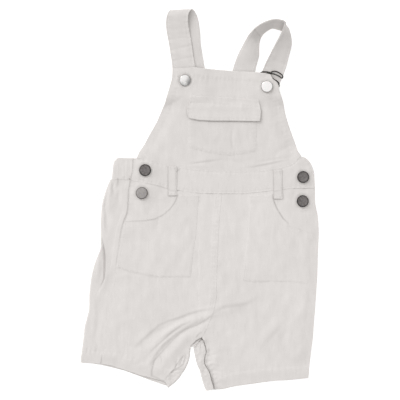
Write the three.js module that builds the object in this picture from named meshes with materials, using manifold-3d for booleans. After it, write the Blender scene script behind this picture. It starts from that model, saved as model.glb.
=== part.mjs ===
// Toddler's short dungarees in slubby linen cloth, laid flat on their back, front side up.
// Units are millimetres. X runs across the garment, Y from the hems to the straps, Z up.
// Tables give places with X from the garment's middle and Y from the lowest point of the hems.

import * as THREE from 'three';
import { mergeVertices } from 'three/addons/utils/BufferGeometryUtils.js';
import Module from 'manifold-3d';

// Driving dimensions
const clothWall = 1.4;
const patchWall = 1.2;
const bandWall = 1.8;
const elasticWall = 2.0;
const strapWall = 2.2;
const pieceGap = 0.4;
const seamGap = 0.25;
const frontLayer = 2.9;
const frontLeast = 1.8;
const bibLayer = 2.7;
const bandLayer = 3.0;
const foldedLayer = 3.6;
const wrapLayer = 2.8;
const placketLift = 1.9;
const bandEndLift = 2.1;
const strapEndLift = 2.7;
const adjusterLift = 2.1;
const gatherPitch = 9;
const gatherHeight = 0.45;
const loopLength = 36;
const loopWidth = 10.5;
const loopArch = 0.8;
const loopWall = 1.4;
const wireWidth = 1.5;
const wireHeight = 3.5;
const buttonRadius = 7.4;
const buttonHeight = 3.2;

const linen = { color: 0xdad4cf, roughness: 0.92, metalness: 0 };
const pewter = { color: 0x6f6d6c, roughness: 0.38, metalness: 0.9 };
const nickel = { color: 0xc9c6c4, roughness: 0.28, metalness: 0.95 };
const darkWire = { color: 0x3b3938, roughness: 0.4, metalness: 0.9 };

// Edges that neighbouring pieces share, as [x, y]
const centreFront = [
  [28.5, 246.5], [26.5, 211], [24, 166], [23, 140], [22.5, 115], [18.5, 99], [10, 80], [3, 67],
];
const centreBack = [[8, 259], [7, 211], [5.5, 176], [4, 140], [3, 105], [1.5, 67]];
const sideSeam = [
  [-85, 263], [-87, 252], [-89, 234], [-91, 221], [-94.5, 212], [-97.5, 196], [-101.5, 174],
  [-105, 150], [-110, 119], [-115, 89], [-118.5, 64], [-121, 47], [-122.5, 35],
];
const leftOutline = [
  [-112, 263.6], [-115.5, 253], [-119, 242], [-121.5, 231], [-122.5, 209], [-122.7, 179],
  [-127.5, 166], [-131, 151], [-135, 124], [-139, 91], [-142.5, 73], [-145.5, 53], [-148, 37],
];
const rightOutline = [
  [144, 253.5], [144.2, 236], [147.8, 218], [149, 199], [147.8, 174], [147, 144], [145, 114],
  [142.8, 86], [141.5, 67], [139, 48], [137, 30], [136, 17.5],
];
const leftInseam = [[-11, 55.5], [-18, 45], [-26, 36.5], [-33, 26.5], [-43.5, 13.5]];
const leftInnerFold = [[-11, 54], [-13.5, 43], [-17.5, 28.5], [-24, 19.5], [-38, 6]];
const rightInseam = [[8.5, 55], [7, 46], [6.5, 38], [9, 31], [14, 24.5], [17, 14], [19.5, 3.5]];
const rightInnerFold = [[-6.2, 54], [-5, 44], [-3.5, 36], [0, 28.5], [2, 20], [4.5, 12], [8, 1.8]];
const crotchFront = [[-11, 55.5], [-4, 63.5], [3, 67]];
const crotchFrontRight = [[8.5, 55], [7, 62.5], [3, 67]];
const leftHem = [[-122.5, 35], [-110, 33.3], [-92, 27.5], [-74, 21.5], [-59, 17.5], [-43.5, 13.5]];
const rightHem = [[19.5, 3.5], [45, 8], [64, 10.8], [89, 13.8], [114, 15.2], [136, 17.5]];
const rightBackHem = [[12, 3], [19.5, 3], [45, 7.6], [89, 13.4], [136, 17.5]];
const leftBackHem = [[-148, 37], [-135, 35.8], [-122, 34], [-92, 26.5], [-60, 14.5], [-41, 8]];

// The front waistband's sections, from its left end to its right end
const bandSections = [
  { top: [-82, 290.5], bottom: [-85, 263.4] },
  { top: [-67.5, 290], bottom: [-72.5, 261.5] },
  { top: [-51, 285.5], bottom: [-54, 257.5] },
  { top: [-34, 280.5], bottom: [-36, 252.5] },
  { top: [-5, 277], bottom: [-5, 248] },
  { top: [21, 275], bottom: [23, 247] },
  { top: [52.5, 274.5], bottom: [56, 247] },
  { top: [79, 275.5], bottom: [80, 249.5] },
  { top: [97.5, 277.5], bottom: [98, 252] },
  { top: [114, 283], bottom: [116, 253.4] },
  { top: [127.5, 290.5], bottom: [130, 253.9] },
  { top: [138, 284], bottom: [138.5, 254] },
  { top: [142.7, 273], bottom: [144, 254] },
];

const bibEdges = {
  left: [
    [-77.5, 290.9], [-74, 299], [-69, 306], [-61, 321], [-52.5, 336], [-46, 351], [-42.5, 359],
    [-38.5, 372.5], [-36, 381], [-33.5, 390], [-32.5, 402.5],
  ],
  right: [
    [127, 290.9], [122.5, 299.5], [118, 314], [112.5, 329], [107.5, 345], [105, 359],
    [102.5, 367.5], [100, 374], [99.5, 382], [97.5, 387], [92.5, 390], [89.5, 395.5],
  ],
  top: [[-32.5, 402.5], [-5, 404], [5.5, 402.5], [41, 399.5], [69, 398], [79, 397], [89.5, 395.5]],
};

// Patches sewn on the panels, each by its four edges
const patchEdges = {
  bib_pocket: {
    left: [[-12.5, 306], [-13.7, 311], [-13.2, 354]],
    right: [[72, 300], [71.5, 325], [72, 354]],
    top: [[-13.2, 354], [72, 354]],
    bottom: [[-12.5, 306], [-8, 303], [2.5, 300.5], [15, 297.5], [36, 294.3], [62.5, 297.5], [72, 300]],
  },
  bib_flap: {
    left: [[-12.5, 341], [-14.6, 346], [-14.6, 356], [-11, 361], [-10, 369]],
    right: [[76, 337], [77, 349], [74, 364]],
    top: [[-10, 369], [11, 368.5], [50, 366], [74, 364]],
    bottom: [[-12.5, 341], [-1, 338.5], [17.5, 337.5], [40, 337.5], [66, 337], [76, 337]],
  },
  pocket_left: {
    left: [[-102.5, 155], [-99.5, 174], [-95.5, 197], [-93, 211.5]],
    right: [[-10, 142.5], [-6.5, 170], [-2, 201], [1, 244.5]],
    top: [
      [-93, 211.5], [-80, 212.5], [-67.5, 213], [-55, 215], [-45, 220], [-36, 227.5],
      [-30, 236], [-26.5, 244.5], [1, 244.5],
    ],
    bottom: [[-102.5, 155], [-86, 149], [-55, 142.5], [-10, 142.5]],
  },
  pocket_right: {
    left: [[54.5, 137], [56.5, 164], [61, 201], [63.5, 244.5]],
    right: [[144.8, 132.5], [145.3, 164], [146, 196]],
    top: [
      [63.5, 244.5], [91, 244.5], [92, 241], [94.5, 235], [100, 224], [105, 216], [114, 207.5],
      [127.5, 201], [146, 196],
    ],
    bottom: [[54.5, 137], [114, 136], [144.8, 132.5]],
  },
};

// Sections of the straps from the front end, over the shoulder fold, to the back waistband:
// the two edges of the ribbon, each as [x, y, z]
const leftStrapSections = [
  { left: [-31, 375, 3.75], right: [-3.5, 376, 3.75] },
  { left: [-32.5, 391, 3.75], right: [-4.5, 393, 3.75] },
  { left: [-33, 406, 3.8], right: [-5.5, 406, 3.9] },
  { left: [-35, 420, 4.0], right: [-7.5, 420, 4.8] },
  { left: [-37.5, 436, 4.6], right: [-9.8, 436, 6.4] },
  { left: [-40, 449, 5.6], right: [-12.3, 449, 8.4] },
  { left: [-40.7, 461, 6.8], right: [-14, 461, 9.8] },
  { left: [-39, 470, 7.4], right: [-12.7, 472, 9.8] },
  { left: [-36, 474.6, 5.2], right: [-8.3, 476, 6.2] },
  { left: [-32, 471.5, 2.2], right: [-4.3, 471.5, 2.6] },
  { left: [-28.5, 464, 1.3], right: [-1.5, 464, 1.4] },
  { left: [-26, 449, 1.25], right: [0.8, 449, 1.25] },
  { left: [-24.5, 432, 1.25], right: [2, 432, 1.25] },
  { left: [-21.5, 414, 1.25], right: [5, 413.5, 1.25] },
  { left: [-19.5, 400, 1.25], right: [7, 400, 1.25] },
  { left: [-15, 364, 1.25], right: [12, 364, 1.25] },
  { left: [-9.5, 326, 1.25], right: [17.5, 325, 1.25] },
  { left: [-5, 289.5, 1.25], right: [22, 288.6, 1.25] },
];
const rightStrapSections = [
  { left: [72, 380, 1.25], right: [96, 372.5, 1.25] },
  { left: [75.5, 391, 1.25], right: [99.7, 383, 1.25] },
  { left: [80, 402, 1.5], right: [104.5, 394.5, 1.25] },
  { left: [83, 409, 5.0], right: [108.5, 405.5, 1.25] },
  { left: [87, 417, 11.5], right: [112, 416, 1.25] },
  { left: [95.5, 432.5, 18.7], right: [116, 431, 1.25] },
  { left: [100, 440.5, 22.6], right: [115.5, 441.5, 1.25] },
  { left: [104, 447.5, 25.0], right: [114, 448.5, 1.25] },
  { left: [106, 454, 26.4], right: [111, 455, 1.25] },
  { left: [106.3, 459.3, 26.8], right: [106.3, 458.6, 1.25] },
  { left: [103.8, 463.2, 25.6], right: [101.5, 456.2, 1.25] },
  { left: [100, 464.6, 24.6], right: [97, 454, 1.25] },
  { left: [94, 464.8, 24.4], right: [91, 453.2, 1.25] },
  { left: [85, 462.5, 24.3], right: [85.3, 450.3, 1.25] },
  { left: [76, 458, 24.0], right: [80, 446, 1.25] },
  { left: [67.5, 450, 23.5], right: [76.7, 441, 1.25] },
  { left: [61, 442.5, 21.4], right: [75, 434.5, 1.25] },
  { left: [54.5, 431, 16.8], right: [74.6, 427, 1.25] },
  { left: [50, 422.5, 8.5], right: [74.5, 419, 1.25] },
  { left: [46, 412.5, 2.4], right: [72.3, 410, 1.25] },
  { left: [42, 399.5, 1.25], right: [69, 398, 1.25] },
  { left: [39, 376, 1.25], right: [66, 375, 1.25] },
  { left: [34.5, 332.5, 1.25], right: [61, 331.5, 1.25] },
  { left: [31, 288, 1.25], right: [57.5, 287.2, 1.25] },
];

// The two loops of the wire adjuster at the right strap's front end
const adjusterBarLoop = [
  [78, 398.3], [84, 398.3], [90, 397.9], [96, 396.6], [100.5, 394.4], [103.4, 391.6],
  [102.7, 389.8], [100.6, 390.8], [96.3, 393.4], [91, 395.2], [84, 396.1], [78, 396.3],
];
const adjusterHookLoop = [
  [88.5, 395.6], [91, 392.6], [95, 390.2], [98.6, 387.2], [100.4, 383], [98, 378], [92, 374.6],
  [82, 374.2], [76.6, 379], [75.6, 388], [78, 395.2], [83, 396.1],
];

// Folds of the front panels: a ridge or a trough along a line, in millimetres of height and width
const folds = [
  { line: [[62, 114], [32, 103], [8, 97], [-14, 88], [-34, 76], [-52, 60], [-63, 42]], height: 2.0, width: 6 },
  { line: [[24, 104], [14, 94], [-5, 82.5], [-20, 74], [-36, 57.5], [-51, 42.5], [-59, 28]], height: -1.6, width: 4.5 },
  { line: [[40, 112], [10, 106], [-18, 97], [-44, 85], [-66, 66]], height: -0.9, width: 5 },
  { line: [[10, 82], [-8, 72], [-28, 52], [-44, 32]], height: 1.2, width: 9 },
  { line: [[107, 90], [92, 74], [78, 57]], height: 1.3, width: 9 },
  { line: [[130, 120], [122, 80], [118, 45]], height: 0.9, width: 10 },
  { line: [[-100, 120], [-104, 80], [-106, 55]], height: 0.9, width: 10 },
  { line: [[60, 215], [66, 180], [70, 150]], height: 0.8, width: 12 },
];
const bibFolds = [
  { line: [[-11, 284], [10, 287], [28, 289]], height: 1.0, width: 4 },
  { line: [[60, 279], [85, 285], [112, 291]], height: 1.1, width: 4 },
];

const tackButtons = [
  { name: 'button_bib_left', at: [-17.5, 388], look: nickel },
  { name: 'button_bib_right', at: [84.5, 380], look: nickel },
  { name: 'button_side_left_upper', at: [-67, 276], look: pewter },
  { name: 'button_side_left_lower', at: [-71, 247.5], look: pewter },
  { name: 'button_side_right_upper', at: [129.5, 267.5], look: pewter },
  { name: 'button_side_right_lower', at: [129, 237.5], look: pewter },
];

// Small tools for edges and heights
const mix = (a, b, t) => a + (b - a) * t;

function smooth(from, to, value) {
  const t = Math.min(1, Math.max(0, (value - from) / (to - from)));
  return t * t * (3 - 2 * t);
}

// A point function along an edge: t from 0 to 1 runs by length
function edge(points) {
  const lengths = [0];
  for (let i = 1; i < points.length; i += 1) {
    const step = Math.hypot(points[i][0] - points[i - 1][0], points[i][1] - points[i - 1][1]);
    lengths.push(lengths[i - 1] + step);
  }
  const total = lengths[lengths.length - 1];
  return (t) => {
    const want = Math.min(total, Math.max(0, t * total));
    let i = 1;
    while (i < points.length - 1 && lengths[i] < want) i += 1;
    const part = (want - lengths[i - 1]) / (lengths[i] - lengths[i - 1]);
    return [mix(points[i - 1][0], points[i][0], part), mix(points[i - 1][1], points[i][1], part)];
  };
}

const moved = (points, dx, dy) => points.map(([x, y]) => [x + dx, y + dy]);
const reversed = (points) => [...points].reverse();

// The other coordinate of an edge where it passes a given height (axis 1) or breadth (axis 0)
function across(points, axis, value) {
  const sorted = [...points].sort((a, b) => a[axis] - b[axis]);
  if (value <= sorted[0][axis]) return sorted[0][1 - axis];
  for (let i = 1; i < sorted.length; i += 1) {
    if (value <= sorted[i][axis]) {
      const part = (value - sorted[i - 1][axis]) / (sorted[i][axis] - sorted[i - 1][axis] || 1);
      return mix(sorted[i - 1][1 - axis], sorted[i][1 - axis], part);
    }
  }
  return sorted[sorted.length - 1][1 - axis];
}

// A patch filled in between its four edges: u runs across, v from bottom to top
function between({ left, right, top, bottom }) {
  const [l, r, t, b] = [left, right, top, bottom].map((side) => (Array.isArray(side) ? edge(side) : side));
  const [lb, rb, lt, rt] = [b(0), b(1), t(0), t(1)];
  return (u, v) => [0, 1].map((k) => {
    const ruled = mix(b(u)[k], t(u)[k], v) + mix(l(v)[k], r(v)[k], u);
    return ruled - mix(mix(lb[k], rb[k], u), mix(lt[k], rt[k], u), v);
  });
}

// The summed height of folds at a place, fading to nothing at each fold's ends
function foldHeight(list, x, y) {
  let sum = 0;
  for (const { line, height, width } of list) {
    let nearest = Infinity;
    let fade = 0;
    for (let i = 1; i < line.length; i += 1) {
      const [ax, ay] = line[i - 1];
      const [dx, dy] = [line[i][0] - ax, line[i][1] - ay];
      const t = Math.min(1, Math.max(0, ((x - ax) * dx + (y - ay) * dy) / (dx * dx + dy * dy)));
      const away = Math.hypot(x - ax - t * dx, y - ay - t * dy);
      if (away < nearest) {
        nearest = away;
        const along = (i - 1 + t) / (line.length - 1);
        fade = Math.sin(Math.PI * Math.min(1, Math.max(0, mix(0.08, 0.92, along))));
      }
    }
    sum += height * fade * Math.exp(-((nearest / width) ** 2));
  }
  return sum;
}

// Heights of the undersides of the front pieces
const bandTop = bandSections.map((section) => section.top);
const bandBottom = bandSections.map((section) => section.bottom);
const hemLine = [...leftHem, ...rightHem];
const innerEdges = [...leftInseam, ...rightInseam];

function bandUnder(x) {
  const leftLift = bandEndLift * (1 - smooth(-62, -42, x));
  const rightDrop = 0.5 * smooth(120, 142, x);
  return bandLayer + leftLift - rightDrop;
}

function legUnder(x, y) {
  const lift = placketLift * (1 - smooth(-71, -50, x)) * smooth(200, 210.5, y);
  const fromSide = x > 0 ? across(rightOutline, 1, y) - x : 30;
  const fromHem = y - across(hemLine, 0, x);
  const fromInner = Math.min(...innerEdges.map(([ix, iy]) => Math.hypot(x - ix, y - iy)));
  const settle = smooth(0, 16, fromSide) * smooth(0, 14, fromHem) * smooth(0, 16, fromInner);
  const loft = 0.9 * Math.sin(Math.PI * smooth(20, 250, y)) * smooth(10, 60, fromSide);
  const body = frontLayer - frontLeast + loft + foldHeight(folds, x, y);
  const joins = smooth(0, 18, across(bandBottom, 0, x) - y);
  const atBand = mix(bandUnder(x) - lift - frontLeast, body, joins);
  return Math.max(frontLeast, frontLeast + mix(0.2, atBand, settle)) + lift;
}

function bibUnder(x, y) {
  const fromSide = Math.min(x - across(bibEdges.left, 1, y), across(bibEdges.right, 1, y) - x);
  const risen = Math.max(smooth(0, 24, fromSide), smooth(352, 370, y));
  const strapEnd = strapEndLift * smooth(350, 370, y) * (1 - smooth(0, 22, x));
  const adjuster = adjusterLift * smooth(352, 370, y) * smooth(50, 72, x);
  const own = mix(0.15, bibLayer, risen) + strapEnd + adjuster + foldHeight(bibFolds, x, y);
  return mix(bandUnder(x), own, smooth(0, 26, y - across(bandTop, 0, x)));
}

const legTop = (x, y) => legUnder(x, y) + clothWall;
const bibTop = (x, y) => bibUnder(x, y) + clothWall;
const bandOuter = (x) => bandUnder(x) + bandWall;

// Solids from grids of points: the two faces of a wall and the rim that joins them
function wallSolid(outer, inner, across_, along) {
  const positions = [];
  const index = [];
  for (const face of [outer, inner]) {
    for (let j = 0; j <= along; j += 1) {
      for (let i = 0; i <= across_; i += 1) positions.push(...face(i / across_, j / along));
    }
  }
  const row = across_ + 1;
  const half = row * (along + 1);
  const quad = (a, b, c, d) => index.push(a, b, c, a, c, d);
  for (let j = 0; j < along; j += 1) {
    for (let i = 0; i < across_; i += 1) {
      const a = j * row + i;
      quad(a, a + 1, a + row + 1, a + row);
      quad(half + a, half + a + row, half + a + row + 1, half + a + 1);
    }
  }
  for (let i = 0; i < across_; i += 1) {
    const top = along * row + i;
    quad(i + 1, i, half + i, half + i + 1);
    quad(top, top + 1, half + top + 1, half + top);
  }
  for (let j = 0; j < along; j += 1) {
    const a = j * row;
    const b = a + across_;
    quad(a, a + row, half + a + row, half + a);
    quad(b + row, b, half + b, half + b + row);
  }
  const geometry = new THREE.BufferGeometry();
  geometry.setAttribute('position', new THREE.Float32BufferAttribute(positions, 3));
  geometry.setIndex(index);
  return outward(geometry);
}

// Turns a closed solid's faces outwards
function outward(geometry) {
  const p = geometry.attributes.position;
  const index = geometry.index.array;
  const [a, b, c] = [new THREE.Vector3(), new THREE.Vector3(), new THREE.Vector3()];
  let volume = 0;
  for (let i = 0; i < index.length; i += 3) {
    a.fromBufferAttribute(p, index[i]);
    b.fromBufferAttribute(p, index[i + 1]);
    c.fromBufferAttribute(p, index[i + 2]);
    volume += a.dot(b.cross(c));
  }
  if (volume < 0) {
    for (let i = 0; i < index.length; i += 3) [index[i], index[i + 1]] = [index[i + 1], index[i]];
  }
  geometry.computeVertexNormals();
  return geometry;
}

// A panel between four edges, with its underside at a height and a wall above it
function panel(edges, under, wall, nu, nv) {
  const place = between(edges);
  const thick = typeof wall === 'function' ? wall : () => wall;
  const face = (raised) => (u, v) => {
    const [x, y] = place(u, v);
    return [x, y, under(x, y) + (raised ? thick(x, y) : 0)];
  };
  return wallSolid(face(true), face(false), nu, nv);
}

// A panel that lies under, turns up round a fold line and comes back on top to its over edge
function foldedPanel({ under, fold, over, hem, high, wall, ripple = () => 0, counts }) {
  const half = wall / 2;
  const low = half;
  const radius = (high - low) / 2;
  const [underEdge, foldEdge, overEdge] = [edge(under), edge(fold), edge(over)];
  const inward = (v) => {
    const [f, o] = [foldEdge(v), overEdge(v)];
    const length = Math.hypot(o[0] - f[0], o[1] - f[1]);
    return [(o[0] - f[0]) / length, (o[1] - f[1]) / length];
  };
  const inset = (v) => {
    const [f, d] = [foldEdge(v), inward(v)];
    return [f[0] + d[0] * (radius + half), f[1] + d[1] * (radius + half)];
  };
  const hemEdge = hem ? edge([inset(0), ...hem.slice(1)]) : edge([inset(0), underEdge(0)]);
  const lowPlace = between({
    left: inset, right: underEdge, bottom: hemEdge, top: edge([inset(1), underEdge(1)]),
  });
  const [nUnder, nTurn, nOver] = counts.across;
  const total = nUnder + nTurn + nOver;
  const face = (side) => (s, v) => {
    const k = Math.round(s * total);
    if (k <= nUnder) {
      const [x, y] = lowPlace(1 - k / nUnder, v);
      return [x, y, low - side * half + (side < 0 ? ripple(x, y) : 0)];
    }
    const [cx, cy] = inset(v);
    const [dx, dy] = inward(v);
    if (k <= nUnder + nTurn) {
      const turn = Math.PI * (k - nUnder) / nTurn;
      const reach = (radius + side * half) * Math.sin(turn);
      const rise = low + radius - (radius + side * half) * Math.cos(turn);
      return [cx - dx * reach, cy - dy * reach, rise];
    }
    const t = (k - nUnder - nTurn) / nOver;
    const [ox, oy] = overEdge(v);
    const [x, y] = [mix(cx, ox, t), mix(cy, oy, t)];
    return [x, y, high + side * half + (side > 0 ? ripple(x, y) * Math.min(1, 3 * t) : 0)];
  };
  return wallSolid(face(1), face(-1), total, counts.along);
}

// A ribbon through sections given by its two edges, smooth along its length
function ribbon(sections, wall, counts) {
  const curve = (side) => new THREE.CatmullRomCurve3(
    sections.map((section) => new THREE.Vector3(...section[side])), false, 'centripetal',
  );
  const [left, right] = [curve('left'), curve('right')];
  const step = 0.5 / counts.along;
  const place = (u, v) => left.getPoint(v).lerp(right.getPoint(v), u);
  const face = (side) => (u, v) => {
    const width = right.getPoint(v).sub(left.getPoint(v));
    const forward = place(u, Math.min(1, v + step)).sub(place(u, Math.max(0, v - step)));
    const normal = width.cross(forward).normalize();
    return place(u, v).addScaledVector(normal, side * wall / 2).toArray();
  };
  return wallSolid(face(1), face(-1), counts.across, counts.along);
}

// Joins closed solids into one
const wasm = await Module();
wasm.setup();

function toManifold(geometry) {
  const bare = geometry.clone();
  bare.deleteAttribute('normal');
  bare.deleteAttribute('uv');
  const merged = mergeVertices(bare, 1e-4);
  return new wasm.Manifold(new wasm.Mesh({
    numProp: 3,
    vertProperties: new Float32Array(merged.attributes.position.array),
    triVerts: new Uint32Array(merged.index.array),
  }));
}

function joined(first, second) {
  const mesh = toManifold(first).add(toManifold(second)).getMesh();
  const geometry = new THREE.BufferGeometry();
  geometry.setAttribute('position', new THREE.Float32BufferAttribute(mesh.vertProperties, 3));
  geometry.setIndex([...mesh.triVerts]);
  geometry.computeVertexNormals();
  return geometry;
}

// Pieces
const garment = new THREE.Group();

function add(name, geometry, look) {
  const mesh = new THREE.Mesh(geometry, new THREE.MeshStandardMaterial(look));
  mesh.name = name;
  garment.add(mesh);
}

// A strip of the back panel that turns up round a leg's inner edge to the inseam
function innerWrap(fold, over) {
  const tuck = 7;
  const under = fold.map(([x, y], i) => {
    const [ox, oy] = edge(over)(i / (fold.length - 1));
    const length = Math.hypot(ox - x, oy - y);
    return [x + (ox - x) * tuck / length, y + (oy - y) * tuck / length];
  });
  return foldedPanel({
    under, fold, over, high: wrapLayer, wall: clothWall, counts: { across: [2, 4, 2], along: 8 },
  });
}

function addBackLegs() {
  const backInnerLeft = [[-7.5, 58], [-15, 52], [-18, 40], [-23, 29], [-30, 20], [-41, 8]];
  const backInnerRight = [[-1.5, 58], [-1.5, 52], [0, 42], [4, 30], [7, 20], [9, 10], [12, 3]];
  const leftInner = [...moved(centreBack, -seamGap, 0), ...backInnerLeft];
  const leftPanel = foldedPanel({
    under: reversed(leftInner),
    fold: reversed(leftOutline),
    over: reversed([
      [-75, 262], [-77, 240], [-80, 222], [-84, 217], [-95.4, 211.6],
      ...moved(sideSeam.slice(5), -2 * seamGap, 0),
    ]),
    hem: leftBackHem,
    high: foldedLayer,
    wall: clothWall,
    counts: { across: [6, 5, 3], along: 20 },
  });
  const leftWrap = innerWrap(reversed(leftInnerFold), reversed(moved(leftInseam, 1, -0.4)));
  add('leg_back_left', joined(leftPanel, leftWrap), linen);

  const flatRight = panel({
    left: reversed([...moved(centreBack, seamGap, 0), ...backInnerRight]),
    right: reversed(rightOutline),
    bottom: rightBackHem,
    top: [[8 + seamGap, 259], [144, 253.5]],
  }, () => 0, clothWall, 6, 16);
  const rightWrap = innerWrap(reversed(rightInnerFold), reversed(moved(rightInseam, -1.2, 0)));
  add('leg_back_right', joined(flatRight, rightWrap), linen);
}

function addFrontLegs() {
  const topLeft = moved(bandBottom.filter(([x]) => x < 28), 0, -pieceGap);
  const topRight = moved(bandBottom.filter(([x]) => x > 30), 0, -pieceGap);
  const joinY = across(bandBottom, 0, 28.5) - pieceGap;
  const leftCentre = moved(centreFront, -seamGap, 0);
  const rightCentre = moved(centreFront, seamGap, 0);
  leftCentre[0][1] = joinY;
  rightCentre[0][1] = joinY;
  add('leg_front_left', panel({
    left: reversed([topLeft[0], ...sideSeam.slice(1)]),
    right: reversed([...leftCentre, ...reversed(crotchFront).slice(1), ...leftInseam.slice(1)]),
    bottom: leftHem,
    top: [...topLeft, leftCentre[0]],
  }, legUnder, clothWall, 18, 26), linen);
  add('leg_front_right', panel({
    left: reversed([...rightCentre, ...reversed(crotchFrontRight).slice(1), ...rightInseam.slice(1)]),
    right: reversed([topRight[topRight.length - 1], ...rightOutline.slice(1)]),
    bottom: rightHem,
    top: [rightCentre[0], ...topRight],
  }, legUnder, clothWall, 17, 26), linen);
}

function addWaistbands() {
  add('waistband_front', panel({
    left: [bandBottom[0], [-84.5, 275], bandTop[0]],
    right: [bandBottom[12], bandTop[12]],
    bottom: bandBottom,
    top: bandTop,
  }, (x) => bandUnder(x), bandWall, 26, 2), linen);
  const gathers = (x) => gatherHeight * 0.5 * (1 + Math.sin(2 * Math.PI * x / gatherPitch));
  add('waistband_back', foldedPanel({
    under: [[143, 254.7], [141, 270], [138.5, 283]],
    fold: [[-108.2, 264.6], [-107.8, 286], [-105.5, 291.2]],
    over: [[-66, 262.9], [-66, 288]],
    high: foldedLayer,
    wall: elasticWall,
    ripple: gathers,
    counts: { across: [77, 5, 14], along: 2 },
  }), linen);
}

function addBib() {
  const low = moved(bandTop.filter(([x]) => x > -77 && x < 127), 0, pieceGap);
  const { left, right, top } = bibEdges;
  add('bib', panel({
    left, right, top, bottom: [left[0], ...low, right[0]],
  }, bibUnder, clothWall, 18, 16), linen);
  add('bib_pocket', panel(
    patchEdges.bib_pocket, (x, y) => bibTop(x, y) + pieceGap, patchWall, 10, 6,
  ), linen);
  const overPocket = (x, y) => (patchWall + pieceGap) * (1 - smooth(354.5, 361, y));
  add('bib_flap', panel(
    patchEdges.bib_flap, (x, y) => bibTop(x, y) + pieceGap + overPocket(x, y), patchWall, 12, 5,
  ), linen);
}

function addHipPockets() {
  for (const name of ['pocket_left', 'pocket_right']) {
    add(name, panel(patchEdges[name], (x, y) => legTop(x, y) + pieceGap, patchWall, 12, 9), linen);
  }
}

function addBeltLoops() {
  const places = [
    { name: 'belt_loop_left', at: [-33, 262.5], lean: 0 },
    { name: 'belt_loop_right', at: [99.3, 260.2], lean: 2.4 },
  ];
  for (const { name, at, lean } of places) {
    const [x, y] = at;
    const side = (dx) => [
      [x + dx + lean / 2, y - loopLength / 2], [x + dx - lean / 2, y + loopLength / 2],
    ];
    const [left, right] = [side(-loopWidth / 2), side(loopWidth / 2)];
    const under = (px, py) => {
      const t = (py - y) / (loopLength / 2);
      const arch = loopArch * (1 - t * t);
      const covers = [py - 1.5, py + 1.5].map((near) => (
        near > across(bandTop, 0, px) ? bibTop(px, near)
          : near > across(bandBottom, 0, px) ? bandOuter(px) : legTop(px, near)
      ));
      return Math.max(...covers) + pieceGap + arch;
    };
    add(name, panel({
      left, right, bottom: [left[0], right[0]], top: [left[1], right[1]],
    }, under, loopWall, 2, 10), linen);
  }
}

function addStraps() {
  add('strap_left', ribbon(leftStrapSections, strapWall, { across: 2, along: 46 }), linen);
  add('strap_right', ribbon(rightStrapSections, strapWall, { across: 3, along: 66 }), linen);
}

// A wire bent into a closed loop, as a six-sided tube
function wireLoop(points, height) {
  const path = new THREE.CatmullRomCurve3(
    points.map(([x, y]) => new THREE.Vector3(x, y, height)), true, 'centripetal',
  );
  const sides = 6;
  const steps = 3 * points.length;
  const up = new THREE.Vector3(0, 0, 1);
  const positions = [];
  const index = [];
  for (let j = 0; j < steps; j += 1) {
    const centre = path.getPoint(j / steps);
    const out = path.getTangent(j / steps).cross(up).normalize();
    for (let i = 0; i < sides; i += 1) {
      const turn = 2 * Math.PI * i / sides;
      const point = centre.clone().addScaledVector(out, Math.cos(turn) * wireWidth / 2);
      positions.push(...point.addScaledVector(up, Math.sin(turn) * wireWidth / 2).toArray());
      const [a, b] = [j * sides + i, j * sides + (i + 1) % sides];
      const [c, d] = [((j + 1) % steps) * sides + (i + 1) % sides, ((j + 1) % steps) * sides + i];
      index.push(a, b, c, a, c, d);
    }
  }
  const geometry = new THREE.BufferGeometry();
  geometry.setAttribute('position', new THREE.Float32BufferAttribute(positions, 3));
  geometry.setIndex(index);
  return outward(geometry);
}

function addAdjuster() {
  const bars = wireLoop(adjusterBarLoop, wireHeight);
  const hook = wireLoop(adjusterHookLoop, wireHeight);
  add('adjuster', joined(bars, hook), darkWire);
}

// A tack button: a shallow cap with a rolled rim, flat below
function addButtons() {
  const profile = [
    [0, 0], [0.86, 0], [1, 0.22], [1, 0.55], [0.93, 0.86], [0.8, 1], [0.66, 0.86], [0, 0.94],
  ];
  for (const { name, at, look } of tackButtons) {
    const [x, y] = at;
    let base = 0;
    for (let turn = 0; turn < 24; turn += 1) {
      for (const reach of [0.5, 0.9, 1.25]) {
        const px = x + Math.cos(turn * Math.PI / 12) * buttonRadius * reach;
        const py = y + Math.sin(turn * Math.PI / 12) * buttonRadius * reach;
        const onBib = py > across(bandTop, 0, px);
        const onBand = !onBib && py > across(bandBottom, 0, px);
        base = Math.max(base, onBib ? bibTop(px, py) : onBand ? bandOuter(px) : legTop(px, py));
      }
    }
    const cap = new THREE.LatheGeometry(
      profile.map(([r, h]) => new THREE.Vector2(r * buttonRadius, h * buttonHeight)), 18,
    );
    cap.deleteAttribute('normal');
    cap.deleteAttribute('uv');
    const closed = mergeVertices(cap, 1e-3);
    closed.rotateX(Math.PI / 2);
    closed.translate(x, y, base + pieceGap);
    add(name, outward(closed), look);
  }
}

addBackLegs();
addFrontLegs();
addWaistbands();
addBib();
addHipPockets();
addBeltLoops();
addStraps();
addAdjuster();
addButtons();

// The origin lies under the middle of the garment's box
const box = new THREE.Box3().setFromObject(garment);
garment.position.set(-(box.min.x + box.max.x) / 2, -(box.min.y + box.max.y) / 2, -box.min.z);
garment.updateMatrixWorld(true);

export default garment;
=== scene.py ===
import math

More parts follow.
